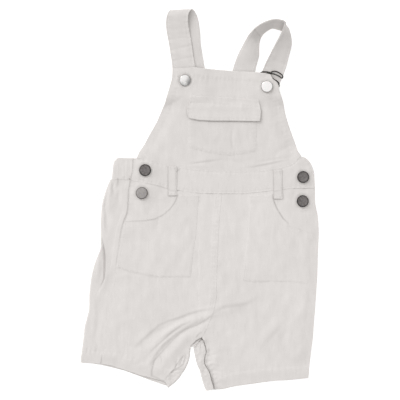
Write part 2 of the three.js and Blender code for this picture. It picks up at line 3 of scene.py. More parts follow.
import bpy
import numpy as np
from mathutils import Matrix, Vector


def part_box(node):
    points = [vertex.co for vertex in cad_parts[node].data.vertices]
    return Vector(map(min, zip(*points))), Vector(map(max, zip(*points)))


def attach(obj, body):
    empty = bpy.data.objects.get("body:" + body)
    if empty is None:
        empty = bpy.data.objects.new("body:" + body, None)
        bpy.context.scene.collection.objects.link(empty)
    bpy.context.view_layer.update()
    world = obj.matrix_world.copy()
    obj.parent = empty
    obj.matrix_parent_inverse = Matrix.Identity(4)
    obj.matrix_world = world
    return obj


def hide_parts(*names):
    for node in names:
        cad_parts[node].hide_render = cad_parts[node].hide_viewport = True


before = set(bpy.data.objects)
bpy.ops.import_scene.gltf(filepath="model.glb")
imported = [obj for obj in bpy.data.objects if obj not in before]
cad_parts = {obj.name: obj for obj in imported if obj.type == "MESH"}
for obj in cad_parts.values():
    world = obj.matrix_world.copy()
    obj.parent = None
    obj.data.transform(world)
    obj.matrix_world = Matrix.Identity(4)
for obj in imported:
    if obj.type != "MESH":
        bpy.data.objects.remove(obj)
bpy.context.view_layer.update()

# Short dungarees in slubby linen, laid flat and seen from straight above.
# Tables are in millimetres: x from the garment's middle, y from the lowest hem, z up from the floor.

buttonPlaces = {
    "button_bib_left": (-17.5, 388), "button_bib_right": (84.5, 380), "button_side_left_upper": (-67, 276),
    "button_side_left_lower": (-71, 247.5), "button_side_right_upper": (129.5, 267.5),
    "button_side_right_lower": (129, 237.5),
}
garment = {
    "clothWall": 1.4,
    "bandWall": 1.8,
    "shell": 0.9,                # how thick the modelled cloth is where it lies on other cloth
    "rimBulge": 0.32,
    "rimRings": 3,
}
mmPerMetre = 1000


def nodeBox(name):
    return [np.array(corner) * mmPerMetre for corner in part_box(name)]


# The left bib button ties the tables to the frame
frameShift = np.array([
    *(sum(nodeBox("button_bib_left")) / 2)[:2] - buttonPlaces["button_bib_left"],
    nodeBox("leg_back_right")[0][2],
])
print("stage: frame loaded, shift", frameShift.round(2))


# Tools for edges and heights, on whole arrays

def smoothStep(start, end, value):
    # 3t^2 - 2t^3, with t the value's share of the way from start to end
    t = np.clip((value - start) / (end - start), 0, 1)
    return t * t * (3 - 2 * t)


def blend(a, b, t):
    return a + (b - a) * t


def bell(away, width):
    # 1 at the line and e^-1 at a width from it
    return np.exp(-((away / width) ** 2))


def unit(vectors):
    return vectors / np.maximum(np.linalg.norm(vectors, axis=-1, keepdims=True), 1e-9)


def runAlong(points):
    # The length from a polyline's start to each of its points
    return np.concatenate([[0], np.cumsum(np.linalg.norm(np.diff(points, axis=0), axis=1))])


def pickAt(places, run, points):
    return np.stack([np.interp(places, run, column) for column in np.transpose(points)], -1)


def edgeAt(points, t):
    # The point a share t of the length along a polyline
    run = runAlong(points)
    return pickAt(np.asarray(t) * run[-1], run, points)


def roundedEdge(points, t, softness=0.012):
    # The same point averaged with its neighbours, so that the polyline's corners are eased
    steps = np.linspace(-1, 1, 5) * softness
    eased = np.mean([edgeAt(points, np.clip(t + s, 0, 1)) for s in steps], axis=0)
    ends = (smoothStep(0, 0.03, t) * smoothStep(0, 0.03, 1 - t))[..., None]
    return blend(edgeAt(points, t), eased, ends)


def acrossEdge(points, axis, value):
    # An edge's other coordinate where it passes a given x (axis 0) or y (axis 1)
    p = np.asarray(sorted(points, key=lambda q: q[axis]), float)
    return np.interp(value, p[:, axis], p[:, 1 - axis])


def shifted(points, dx, dy):
    return [(x + dx, y + dy) for x, y in points]


def fillBetween(edges, u, v):
    # Coons patch: the two ruled surfaces between facing edges, less the one between the corners
    left, right = roundedEdge(edges["left"], v), roundedEdge(edges["right"], v)
    bottom, top = roundedEdge(edges["bottom"], u), roundedEdge(edges["top"], u)
    (lb, rb), (lt, rt) = [np.array([edges[side][0], edges[side][-1]]) for side in ("bottom", "top")]
    uu, vv = u[..., None], v[..., None]
    return blend(bottom, top, vv) + blend(left, right, uu) - blend(blend(lb, rb, uu), blend(lt, rt, uu), vv)


def nearLine(line, x, y):
    # Distance to a polyline, the share of its length there, +1 on its left or -1 on its right,
    # and the length there
    p = np.asarray(line, float)
    lengths = np.linalg.norm(np.diff(p, axis=0), axis=1)
    total = lengths.sum()
    best = np.full(np.shape(x), np.inf)
    along, side, before = np.zeros_like(best), np.ones_like(best), 0.0
    for a, b, length in zip(p[:-1], p[1:], lengths):
        d = (b - a) / length
        t = np.clip((x - a[0]) * d[0] + (y - a[1]) * d[1], 0, length)
        away = np.hypot(x - a[0] - t * d[0], y - a[1] - t * d[1])
        near = away < best
        best = np.where(near, away, best)
        along = np.where(near, (before + t) / total, along)
        turn = d[0] * (y - a[1]) - d[1] * (x - a[0])
        side = np.where(near, np.where(turn >= 0, 1.0, -1.0), side)
        before += length
    return best, along, side, along * total


def foldSum(folds, x, y):
    # Every fold adds height * sin(pi * share of its length) * a bell of its width round its line
    total = np.zeros(np.shape(x))
    for line, height, width, *drop in folds:
        away, along, side, _ = nearLine(line, x, y)
        across = bell(away, width)
        if drop:  # the left side of the line stands up and laps over the right one
            across = np.where(side > 0, across, -0.6 * bell(away, drop[0]))
        total += height * np.sin(np.pi * blend(0.08, 0.92, along)) * across
    return total


def waviness(x, y, sizes, seed, waves=9):
    # A sum of plain waves with seeded directions and phases, about 1 high; sizes are the lengths
    # along x and y
    r = np.random.default_rng(seed)
    total = np.zeros(np.shape(x))
    for _ in range(waves):
        angle, phase, stretch = r.uniform(0, 2 * np.pi), r.uniform(0, 2 * np.pi), r.uniform(0.7, 1.5)
        kx = math.cos(angle) * 2 * np.pi / (sizes[0] * stretch)
        ky = math.sin(angle) * 2 * np.pi / (sizes[1] * stretch)
        total += np.sin(kx * x + ky * y + phase)
    return total / math.sqrt(waves)


def stitchDent(line, x, y, depth=0.22, pucker=0.12, pitch=5.5, seed=1):
    # A narrow groove under a row of stitches, and puckers that die away on both sides of it
    away, _, _, run = nearLine(line, x, y)
    ripple = np.sin(2 * np.pi * run / pitch + 2.2 * np.sin(run / 17 + seed)) + 0.6 * np.sin(run / 2.1 + seed)
    return pucker * ripple * bell(away, 4.2) - depth * bell(away, 0.8)


def doubledStrip(line, x, y, wide, height, onSide):
    # The cloth stands up by a seam allowance or hem on one side of a line, out to its width
    away, _, side, _ = nearLine(line, x, y)
    return np.where(side == onSide, height * (1 - smoothStep(wide - 0.6, wide + 0.9, away)), 0.0)


# Edges that the pieces share

centreFront = [(28.5, 246.5), (24.8, 211), (22.8, 166), (22, 140), (21.4, 115), (18, 99), (10, 80), (3, 67)]
centreBack = [(8, 259), (7, 211), (5.5, 176), (4, 140), (3, 105), (1.5, 67)]
sideSeam = [
    (-85, 263), (-87.4, 252), (-87.6, 241), (-88.2, 230.5), (-89.6, 222), (-93, 213.5), (-96.6, 203.5),
    (-99.2, 189), (-101.4, 172), (-105, 150), (-110, 119), (-115, 89), (-118.5, 64), (-121, 47), (-122.5, 35),
]
leftOutline = [
    (-112, 263.6), (-115.5, 253), (-119, 242), (-121.5, 231), (-122.5, 209), (-122.7, 179), (-127.8, 166),
    (-130, 160), (-132.8, 150), (-134.8, 140), (-136, 130), (-136.9, 120), (-136.8, 111), (-137.2, 102),
    (-140, 91), (-142.8, 81), (-143.6, 71), (-145, 60), (-146.2, 50), (-148, 37),
]
rightOutline = [
    (144, 253.5), (144.2, 236), (147.8, 218), (149, 199), (147.8, 174), (147, 144), (145, 114), (142.8, 86),
    (141.5, 67), (139, 48), (137, 30), (136, 17.5),
]
leftInseam = [(-11, 55.5), (-18, 45), (-26, 36.5), (-33, 26.5), (-43.5, 13.5)]
leftInnerFold = [
    (-10.4, 54), (-11.1, 49), (-11.6, 43.5), (-12.9, 38), (-15.6, 31.3), (-18.3, 26.3), (-21.9, 21.3),
    (-25.4, 16.3), (-30.4, 11.3), (-38.5, 5),
]
rightInseam = [
    (9.4, 54.1), (10, 48.4), (8, 43.5), (7, 38.8), (8, 35), (10.9, 30), (13.8, 25.3), (15.6, 19.5),
    (17.1, 13.8), (19, 8), (19.5, 3.5),
]
rightInnerFold = [
    (2.8, 65.2), (-1.6, 60.9), (-7, 56.2), (-6.4, 51), (-5.2, 45), (-3.9, 38.5), (-1.4, 31.3), (1, 26.3),
    (2.3, 20), (4.2, 13.5), (6.5, 6.3), (8.8, 1.8),
]
crotchLeft = [(-11, 55.5), (-6.5, 61.9), (-1.6, 66), (3, 67)]
crotchRight = [(9.4, 54.1), (7.6, 59), (7, 64.4), (3, 67)]
rightInnerEdge = crotchRight[::-1] + rightInseam[1:]
leftHem = [(-122.5, 35), (-110, 33.3), (-92, 27.5), (-74, 21.5), (-59, 17.5), (-43.5, 13.5)]
rightHem = [(19.5, 3.5), (30, 4.1), (45, 7.7), (64, 10.6), (89, 13.8), (114, 15.2), (136, 17.5)]
rightBackHem = [(12, 3), (19.5, 3), (30, 3.7), (45, 7.3), (89, 13.4), (136, 17.5)]
leftBackHem = [(-148, 37), (-135, 35.8), (-122, 34), (-92, 26.5), (-60, 14.5), (-41, 8)]
bandTop = [
    (-82, 290.5), (-67.5, 290), (-51, 285.5), (-34, 280.5), (-5, 277), (21, 275), (52.5, 274.5), (79, 275.5),
    (97.5, 277.5), (114, 283), (122, 289), (128, 293.2), (132.6, 291.7), (137.2, 287.2), (140.7, 281.3),
    (143, 273.5),
]
bandBottom = [
    (-85, 263.4), (-72.5, 261.5), (-54, 257.5), (-36, 252.5), (-5, 248), (23, 247), (56, 247), (80, 249.5),
    (98, 252), (116, 253.4), (130, 253.9), (138.5, 254), (144, 254),
]
bibLeft = [
    (-77.5, 290.9), (-74, 299), (-69, 306), (-61, 321), (-52.5, 336), (-46, 351), (-42.5, 359),
    (-38.5, 372.5), (-36, 381), (-33.5, 390), (-32.5, 402.5),
]
bibRight = [
    (127.4, 293.5), (122.8, 299.5), (118, 314), (112.5, 329), (107.5, 345), (105, 359), (102.5, 367.5),
    (100, 374), (98.8, 381.5), (96.2, 386), (91.4, 389.4), (88.7, 395.2),
]
bibTop = [(-32.5, 402.5), (-5, 404), (5.5, 402.5), (41, 399.5), (69, 398), (79, 397), (88.7, 395.2)]
hemLine = leftHem + rightHem

# Each is (line, height, width).
# The main folds, which the solids have too
mainFolds = [
    ([(62, 114), (32, 103), (8, 97), (-14, 88), (-34, 76), (-52, 60), (-63, 42)], 1.35, 6.5),
    ([(10, 91), (-5, 82.5), (-20, 74), (-36, 57.5), (-51, 42.5), (-59, 28)], -0.75, 4.5),
    ([(40, 112), (10, 106), (-18, 97), (-44, 85), (-66, 66)], -0.9, 5),
    ([(10, 82), (-8, 72), (-28, 52), (-44, 32)], 1.2, 9),
    ([(107, 90), (92, 74), (78, 57)], 1.3, 9),
    ([(130, 120), (122, 80), (118, 45)], 0.9, 10),
    ([(-100, 120), (-104, 80), (-106, 55)], 0.9, 10),
    ([(60, 215), (66, 180), (70, 150)], 0.8, 12),
]
bibFolds = [([(-11, 284), (10, 287), (28, 289)], 0.8, 4.5), ([(60, 279), (85, 285), (112, 291)], 0.8, 4.5)]
# The finer creases, which only show in cloth
fineCreases = [
    ([(58, 113), (45, 111.6), (30, 104.5), (20, 101), (7, 100), (-20, 91), (-39, 80.4), (-55, 72.5),
        (-71, 60), (-80, 49)], -0.55, 3.6),
    ([(40, 113), (18, 106), (-20, 97), (-40, 86.5), (-57, 78), (-76, 64)], 0.6, 4),
    ([(20, 93), (7.5, 86.6), (-11, 79.4), (-26, 69.8), (-40, 58.5), (-51, 48), (-57, 35), (-59, 18)],
        -0.42, 2.0),
    ([(-10, 88.5), (-22, 81), (-39, 69), (-55, 54.5), (-66, 42)], -0.4, 1.5),
    ([(-16, 89), (-28, 82.5), (-43, 72), (-62, 56)], 0.45, 2.4),
    ([(-8, 85), (-28, 74), (-45, 60), (-56, 46), (-63, 33)], 0.45, 1.9),
    ([(22, 97), (6, 91.5), (-10, 85.5), (-24, 78)], 0.5, 3.2),
    ([(-57, 48), (-70, 38), (-84, 34)], -0.4, 4),
    ([(-36, 66), (-58, 55), (-76, 51)], 0.4, 4),
    ([(109, 89), (96, 74), (80, 56)], -0.5, 3.5),
    ([(122, 104), (110, 84), (103, 60)], -0.35, 4.5),
    ([(44, 52), (52, 34), (50, 20)], 0.35, 5),
    ([(20, 62), (34, 76), (58, 82)], -0.3, 4),
    ([(14, 50), (30, 56), (52, 54)], 0.35, 4),
    ([(-100, 62), (-84, 56), (-62, 58)], -0.3, 3.5),
    ([(-112, 80), (-96, 88), (-70, 92)], 0.35, 5),
    ([(-60, 132), (-40, 120), (-14, 118)], 0.3, 5),
    ([(52, 134), (50, 122), (60, 108)], -0.35, 3.5),
    ([(30, 190), (34, 160), (33, 134)], -0.3, 3),
    ([(40, 240), (44, 214), (42, 190)], 0.3, 4),
    ([(8, 236), (6, 206), (10, 180)], 0.3, 4),
    ([(118, 128), (112, 118), (108, 100)], 0.35, 4),
    ([(134, 66), (126, 50), (112, 40)], 0.4, 4.5),
    ([(-88, 258), (-82, 236), (-84, 218)], -0.3, 3),
    ([(-60, 250), (-52, 240), (-40, 244)], 0.3, 3),
    ([(116, 250), (122, 243), (138, 247)], -0.3, 2.6),
    ([(118, 228), (130, 223), (142, 228)], -0.35, 2.6),
    ([(-106, 140), (-90, 146), (-70, 141)], 0.3, 3),
]
bibCreases = [
    ([(-14, 283), (8, 286.5), (28, 288.5)], -0.4, 1.5), ([(-18, 281), (2, 281.5), (16, 282)], 0.4, 1.8),
    ([(64, 279.5), (86, 282), (112, 289)], -0.45, 1.6), ([(70, 285), (92, 289), (116, 292.5)], -0.5, 1.6),
    ([(22, 289), (45, 287), (62, 281)], -0.35, 2.5), ([(41, 316), (42, 306), (43, 299)], -0.5, 1.6),
    ([(-44, 330), (-36, 312), (-24, 296)], 0.4, 5), ([(98, 330), (92, 312), (84, 298)], 0.35, 5),
    ([(-28, 372), (-20, 352), (-22, 330)], 0.35, 6), ([(30, 396), (34, 384), (33, 372)], -0.3, 3.5),
    ([(84, 372), (88, 352), (92, 336)], 0.35, 5), ([(-60, 306), (-44, 300), (-30, 292)], -0.35, 3),
    ([(112, 306), (100, 300), (92, 292)], -0.35, 3),
]
innerCreases = [
    ([(-27.5, 40), (-28.1, 36), (-28.8, 30)], -0.9, 1.1), ([(-36.5, 22), (-31, 26), (-23, 27.5)], -0.8, 1.1),
    ([(-19.5, 47), (-20.5, 41), (-22, 35)], -0.6, 1.2), ([(-15, 46), (-16.5, 40), (-19.5, 33)], -0.7, 1.2),
    ([(-24, 44), (-24.5, 38), (-26, 31)], 0.5, 1.6), ([(-32, 31), (-34, 26), (-38, 20)], 0.5, 1.8),
    ([(-40, 20), (-34, 15), (-29, 13)], -0.35, 1.5), ([(-45, 14), (-41.5, 10), (-39.5, 5)], -1.1, 1.1),
    ([(3, 62), (2.6, 56), (3.4, 50)], -0.6, 0.9), ([(-1, 58), (-0.6, 52), (0.4, 46)], 0.4, 1.6),
    ([(1, 44), (3, 36), (6, 30)], 0.35, 1.8), ([(12, 48), (16, 46), (24, 47)], -0.45, 1.3),
    ([(11, 34), (17, 36), (26, 34)], 0.5, 1.8), ([(17, 24), (22, 26), (32, 24)], -0.4, 1.6),
    ([(20, 14), (26, 16), (34, 15)], 0.4, 1.6),
]
# Painted shade: where one layer ends on another the gap between them is painted dark, and a fold is painted
# darkest in its bottom.
# Each is (line, width, darknesses spread evenly from its start to its end).
paintedShadeLines = {
    "mouthLeft": ([(-93.4, 211.8), (-80, 212.7), (-67.5, 213.2), (-55, 215.2), (-45, 220.2), (-36, 227.7),
        (-30, 236.2), (-26.5, 244.7)], 0.85, (0.2, 0.22, 0.26, 0.3, 0.3, 0.3, 0.34, 0.36)),
    "mouthRight": ([(91.6, 246), (92, 241.5), (93.8, 235.5), (97, 228), (104.5, 216.2), (114, 207.2),
        (127.5, 201.5), (146, 196.3)], 0.85, (0.3, 0.34, 0.26, 0.36, 0, 0.06, 0.06, 0)),
    "placket": (sideSeam[:11], 0.85, (0.3, 0.24, 0.3, 0.34, 0.2, 0.14, 0.1, 0.06, 0.04, 0.02, 0)),
    "bandEnd": ([(-85.2, 264), (-82.6, 274), (-81.8, 290)], 0.8, (0.3, 0.24, 0.2)),
    "bandFoot": ([(-109, 264.6), (-96, 264.4), (-85, 263.8)], 0.7, (0.04, 0.12, 0.16)),
    "bandNotch": ([(-101, 265), (-100.9, 262), (-102.4, 254)], 1.3, (0.42, 0.28, 0)),
    "plackNotch": ([(-86.4, 265.2), (-84.4, 264)], 1.0, (0.5, 0.4)),
    "bibFlapFoot": ([(-14.8, 347), (-12.5, 340.8), (-1, 338.3), (17.5, 337.3), (40, 337.3), (66, 336.8),
        (76, 336.8), (77.2, 349)], 0.75, (0.08, 0.3, 0.34, 0.34, 0.34, 0.34, 0.3, 0.1)),
    "loopLeft": ([(-38.4, 245), (-38.4, 280)], 0.7, (0.3, 0.26, 0.2)),
    "loopLeftFar": ([(-27.6, 245), (-27.6, 275)], 0.7, (0.05, 0, 0.04)),
    "loopLeftMark": ([(-27.8, 274), (-26.6, 276), (-24.4, 277)], 0.9, (0.3, 0.4, 0.2)),
    "loopLeftFoot": ([(-38.4, 244.3), (-27.6, 244.3)], 0.7, (0.2, 0.24)),
    "loopRight": ([(93.5, 240), (92.4, 277)], 0.7, (0.16, 0.28, 0.14)),
    "loopRightFar": ([(104.2, 240), (103, 277)], 0.7, (0.06, 0.04, 0)),
    "loopRightFoot": ([(94, 240.2), (102, 240.2)], 0.7, (0.26, 0.1)),
    "pleat": ([(-121, 192), (-119.6, 184.6), (-118.1, 178.4), (-117.1, 168), (-117.1, 151.3), (-117.8, 142),
        (-120.6, 135), (-123.8, 126.3)], 0.85, (0.1, 0.5, 0.62, 0.6, 0.5, 0.36, 0.16, 0)),
    "crotchSoft": ([(15.6, 103.1), (7, 102.3), (-0.6, 100.8), (-12.3, 97.4), (-23.8, 92.6), (-36.3, 89),
        (-49.5, 83.6), (-63.4, 71), (-71.6, 63.8), (-82, 53.4), (-88.4, 45)],
        1.7, (0.06, 0.18, 0.22, 0.18, 0.16, 0.14, 0.07, 0)),
    "crotchThin": ([(-7.4, 88.8), (-17, 84.9), (-22.8, 83), (-27.6, 79.1), (-34.4, 74.4), (-41, 67.6),
        (-48.8, 60.5), (-57.1, 54), (-63.4, 45)], 1.2, (0, 0.1, 0.16, 0.15, 0.14, 0.1, 0)),
    "crotchDeep": ([(32, 106), (26.3, 101.6), (20.5, 99.8), (16.6, 96.5), (12.8, 93.1), (5.1, 87.8),
        (-4.5, 82.5), (-13.1, 79.6), (-18, 77.6), (-24.8, 72.4), (-34.4, 62), (-43, 53.6), (-48.8, 47),
        (-56, 38.8), (-58.8, 26.3), (-58.8, 20)],
        1.05, (0.04, 0.14, 0.2, 0.16, 0.14, 0.1, 0.16, 0.24, 0.3, 0.3)),
    "crotchRight": ([(78, 122), (66, 114), (57.5, 109.8), (40.9, 107.5), (30, 105.4), (20, 100.5)],
        2.6, (0, 0.08, 0.15, 0.18, 0.18, 0.12)),
    "archOuter": ([(-10.3, 57.5), (-5, 62), (0.3, 66.6), (3.2, 67.2)], 0.8, (0.4, 0.34, 0.5, 0.4)),
    "archInner": ([(-5.5, 55.6), (-2, 59.2), (2.2, 63.8), (2.6, 66)], 0.8, (0.36, 0.4, 0.4, 0.3)),
    "archAbove": ([(-3.5, 68.5), (1.3, 73.9), (5, 75.3)], 0.8, (0.26, 0.3, 0)),
    "inseamRight": ([(3.4, 66.9), (8.3, 57.5), (9.6, 49.1), (7.7, 42.9), (8.3, 36.6), (13.6, 26.3),
        (16.7, 17.9), (18.6, 9.6), (19.8, 3.4)],
        0.65, (0.3, 0.24, 0.34, 0.12, 0.3, 0.1, 0.6, 0.16, 0.7, 0.6, 0.4)),
    "inseamLeft": ([(-17.5, 50), (-18.5, 46.1), (-23.8, 40), (-27.9, 34.6), (-30, 28.4), (-34.1, 25.3),
        (-42.5, 15.9)], 0.8, (0.06, 0.26, 0.2, 0.36, 0.34, 0.14, 0.08)),
    "innerCrease": ([(-30, 28.4), (-24, 31), (-19.6, 34.6), (-18.5, 42.9)], 0.8, (0.3, 0.2, 0.16, 0)),
    "turnCrease": ([(-50.9, 48.1), (-46.6, 41), (-47.7, 30.4)], 0.8, (0.12, 0.16, 0)),
    "hemTurn": ([(-58.8, 20), (-50.5, 16.5), (-42.5, 11.6), (-40.4, 6.5)], 1.0, (0.3, 0.2, 0.34, 0.4)),
    "bandSeam": ([(-66, 259.9), (-54, 257.2), (-38.5, 252.9)], 0.75, (0.1, 0.16, 0.2)),
    "bandSeamMark": ([(-27, 251), (-20, 250.3)], 0.8, (0.3, 0)),
    "bibFoldLeft": ([(-14, 284), (9.6, 286.9), (30.4, 289.8)], 0.9, (0, 0.14, 0.16, 0.1, 0)),
    "bibFoldRight": ([(51.3, 279.4), (67.9, 280.4), (82.5, 283.5), (97.1, 286.6), (113.8, 289.1)],
        0.9, (0, 0.14, 0.18, 0.12, 0)),
}


def paintedShade(x, y):
    # Painted shade: the darkest of all lines, darkness * a bell of the width round the line
    shade = np.zeros(np.shape(x))
    for line, width, depths in paintedShadeLines.values():
        away, along, _, _ = nearLine(line, x, y)
        depth = np.interp(along, np.linspace(0, 1, len(depths)), depths)
        shade = np.maximum(shade, depth * bell(away, width))
    return shade


# Heights of the layers

layers = {
    "front": 2.9, "frontLeast": 1.8, "bib": 2.7, "band": 3.0, "folded": 3.6, "wrap": 2.8,
    "placketLift": 1.9, "placketFoot": 184, "bandEndLift": 2.1, "strapEndLift": 2.7, "adjusterLift": 2.1,
    "legLoft": 0.9, "sideSettle": 16, "hemSettle": 14, "innerSettle": 16, "bandJoin": 18, "bibJoin": 26,
}


def buttonDimples(x, y):
    # The cloth is drawn down under each button and stands in a faint ring round it
    total = np.zeros(np.shape(x))
    for bx, by in buttonPlaces.values():
        away, turn = np.hypot(x - bx, y - by), np.arctan2(y - by, x - bx)
        total += 0.28 * bell(away - 10.6, 2) - 0.25 * bell(away, 7.5)
        total += 0.2 * np.sin(5 * turn + bx) * bell(away - 12, 4)
    return total


def bandUnder(x):
    leftLift = layers["bandEndLift"] * (1 - smoothStep(-62, -42, x))
    return layers["band"] + leftLift - 0.5 * smoothStep(120, 142, x)


def legUnder(x, y):
    # As in the solids: settled at the sides, the hem and the inseams, lifted over the placket
    least = layers["frontLeast"]
    lift = layers["placketLift"] * (1 - smoothStep(-71, -50, x)) * smoothStep(layers["placketFoot"], 211, y)
    fromSide = np.where(x > 0, acrossEdge(rightOutline, 1, y) - x, 30.0)
    fromHem = y - acrossEdge(hemLine, 0, x)
    fromInner = np.minimum(nearLine(leftInseam, x, y)[0], nearLine(rightInseam, x, y)[0])
    settle = (smoothStep(0, layers["sideSettle"], fromSide) * smoothStep(0, layers["hemSettle"], fromHem)
              * smoothStep(0, layers["innerSettle"], fromInner))
    loft = layers["legLoft"] * np.sin(np.pi * smoothStep(20, 250, y)) * smoothStep(10, 60, fromSide)
    body = layers["front"] - least + loft + foldSum(mainFolds, x, y)
    joins = smoothStep(0, layers["bandJoin"], acrossEdge(bandBottom, 0, x) - y)
    atBand = blend(bandUnder(x) - lift - least, body, joins)
    return np.maximum(least, least + blend(0.2, atBand, settle)) + lift


def bibUnder(x, y):
    fromSide = np.minimum(x - acrossEdge(bibLeft, 1, y), acrossEdge(bibRight, 1, y) - x)
    risen = np.maximum(smoothStep(0, 24, fromSide), smoothStep(352, 370, y))
    strapEnd = layers["strapEndLift"] * smoothStep(350, 370, y) * (1 - smoothStep(0, 22, x))
    adjuster = layers["adjusterLift"] * smoothStep(352, 370, y) * smoothStep(50, 72, x)
    own = blend(0.15, layers["bib"], risen) + strapEnd + adjuster + foldSum(bibFolds, x, y)
    return blend(bandUnder(x), own, smoothStep(0, layers["bibJoin"], y - acrossEdge(bandTop, 0, x)))


def clothSoftness(x, y, seed):
    # The gentle unevenness of linen that was worn and laid down again: slow waves and two finer ones
    sizes = ((0.28, (60, 85)), (0.11, (17, 30)), (0.05, (8, 15)))
    return sum(height * waviness(x, y, size, seed + k) for k, (height, size) in enumerate(sizes))


def legTop(x, y):
    relief = foldSum(fineCreases + innerCreases, x, y) + buttonDimples(x, y)
    return legUnder(x, y) + garment["clothWall"] + relief + clothSoftness(x, y, 21)


def bibOuter(x, y):
    relief = foldSum(bibCreases, x, y) + buttonDimples(x, y)
    return bibUnder(x, y) + garment["clothWall"] + relief + 0.8 * clothSoftness(x, y, 31)


def bandOuter(x, y):
    return bandUnder(x) + garment["bandWall"] + buttonDimples(x, y) + 0.35 * clothSoftness(x, y, 41)


# Meshes

def gridSteps(count, length, close=(0.35, 0.9, 1.8)):
    # Even steps along a side, with a few closer ones just inside both ends for the soft rim
    share = np.array(close) / length
    even = np.linspace(0, 1, count + 1)
    even = even[np.minimum(even, 1 - even) > share[-1] * 1.3]
    return np.unique(np.concatenate([[0, 1], even, share, 1 - share]))


def quadsOf(index, around=False):
    # The faces of a grid of vertex numbers; around closes each row on itself
    if around:
        index = np.concatenate([index, index[:, :1]], 1)
    return np.stack([index[:-1, :-1], index[:-1, 1:], index[1:, 1:], index[1:, :-1]], -1).reshape(-1, 4)


def addObject(name, data):
    made = bpy.data.objects.new(name, data)
    bpy.context.scene.collection.objects.link(made)
    return made


def makeMesh(name, points, faces, uv, shade=None):
    # points in millimetres of the tables; faces is an array of quads or triangles
    mesh = bpy.data.meshes.new(name)
    place = (np.asarray(points, float) + frameShift) / mmPerMetre
    count, corners = faces.shape
    mesh.vertices.add(len(place))
    mesh.vertices.foreach_set("co", place.astype(np.float32).ravel())
    mesh.loops.add(count * corners)
    mesh.loops.foreach_set("vertex_index", faces.astype(np.int32).ravel())
    mesh.polygons.add(count)
    mesh.polygons.foreach_set("loop_start", np.arange(0, count * corners, corners, dtype=np.int32))
    mesh.polygons.foreach_set("use_smooth", np.ones(count, bool))
    layer = mesh.uv_layers.new(name="UVMap")
    layer.data.foreach_set("uv", (uv[faces.ravel()] / mmPerMetre).astype(np.float32).ravel())
    # the painted shade of gaps and folds is kept per point for the cloth material
    if shade is not None:
        mesh.attributes.new("paintedShade", "FLOAT", "POINT").data.foreach_set("value", shade.astype(np.float32))
    mesh.update(calc_edges=True)
    return addObject(name, mesh)


def wallMesh(name, outer, inner, uv, shade, bulge=garment["rimBulge"], shadeInside=False):
    # A closed cloth wall: two grids and a half-round rim between their borders
    rows, cols = outer.shape[:2]
    index = np.arange(rows * cols).reshape(rows, cols)
    loop = np.concatenate([index[0, :-1], index[:-1, -1], index[-1, :0:-1], index[:0:-1, 0]])
    o, i = outer.reshape(-1, 3), inner.reshape(-1, 3)
    across, between = o[loop] - i[loop], (o[loop] + i[loop]) / 2
    out = unit(np.cross(np.roll(between, -1, 0) - np.roll(between, 1, 0), across))
    count = garment["rimRings"]
    turns = np.pi * np.arange(1, count + 1)[:, None, None] / (count + 1)
    rings = between + across / 2 * np.cos(turns) + out * bulge * np.sin(turns)
    ringIndex = 2 * rows * cols + np.arange(count * len(loop)).reshape(count, -1)
    flip = [0, 3, 2, 1]
    faces = np.concatenate([
        quadsOf(index),
        quadsOf(index)[:, flip] + rows * cols,
        quadsOf(np.stack([loop, *ringIndex, loop + rows * cols]), around=True)[:, flip],
    ])
    uv, shade = uv.reshape(-1, 2), shade.ravel()
    allUv = np.concatenate([uv, uv] + [uv[loop]] * count)
    allShade = np.concatenate([shade, shade * shadeInside] + [shade[loop]] * count)
    middle = (rows // 2) * cols + cols // 2
    normal = np.cross(o[middle + 1] - o[middle], o[middle + cols] - o[middle])
    if normal @ (o[middle] - i[middle]) < 0:
        faces = faces[:, ::-1]
    return makeMesh(name, np.concatenate([o, i, rings.reshape(-1, 3)]), faces, allUv, allShade)


def sewnPanel(name, edges, size, height, shell=garment["shell"], count=(60, 60), sewn=None):
    # A panel from its four edges, with its top at a height worked out from each place.
    # Along a sewn line the cloth is pressed thin and drawn down.
    u, v = np.meshgrid(gridSteps(count[0], size[0]), gridSteps(count[1], size[1]))
    place = fillBetween(edges, u, v)
    x, y = place[..., 0], place[..., 1]
    z = height(x, y)
    if sewn is not None:
        free = smoothStep(0, 2.4, nearLine(sewn, x, y)[0])
        z = z - 0.5 * (1 - free)
        shell = blend(0.34, shell, free)
    outer, inner = np.stack([x, y, z], -1), np.stack([x, y, z - shell], -1)
    # the cloth carries the painted shade of gaps and folds
    return wallMesh(name, outer, inner, place, paintedShade(x, y))


def insetLine(line, away):
    # The line moved to its left by a distance, at each point square to its neighbours
    p = np.asarray(line, float)
    t = unit(np.gradient(p, axis=0))
    return p + np.stack([-t[:, 1], t[:, 0]], -1) * away


# Stitches: every row is kept here and made into one mesh for each area

stitchRows = {}
stitchSize = {"length": 2.5, "pitch": 3.3, "width": 0.5, "height": 0.3, "sink": 0.12, "sides": 6}


def addStitches(area, line, height=None, up=None, lift=0.0):
    # Even stitches along a line: in the plane, on a surface given by its height,
    # or in space, with the surface's own direction at each point
    run = runAlong(line)
    count = max(2, int(run[-1] / stitchSize["pitch"]))
    middle = (np.arange(count) + 0.5) * run[-1] / count
    half = stitchSize["length"] / 2
    ends = [pickAt(middle + s, run, line) for s in (-half, half)]
    if height:
        ends = [np.column_stack([end, height(end[:, 0], end[:, 1]) + lift]) for end in ends]
        direction = np.tile([0.0, 0.0, 1.0], (count, 1))
    else:
        direction = pickAt(middle, run, up)
    stitchRows.setdefault(area, []).append((*ends, direction))


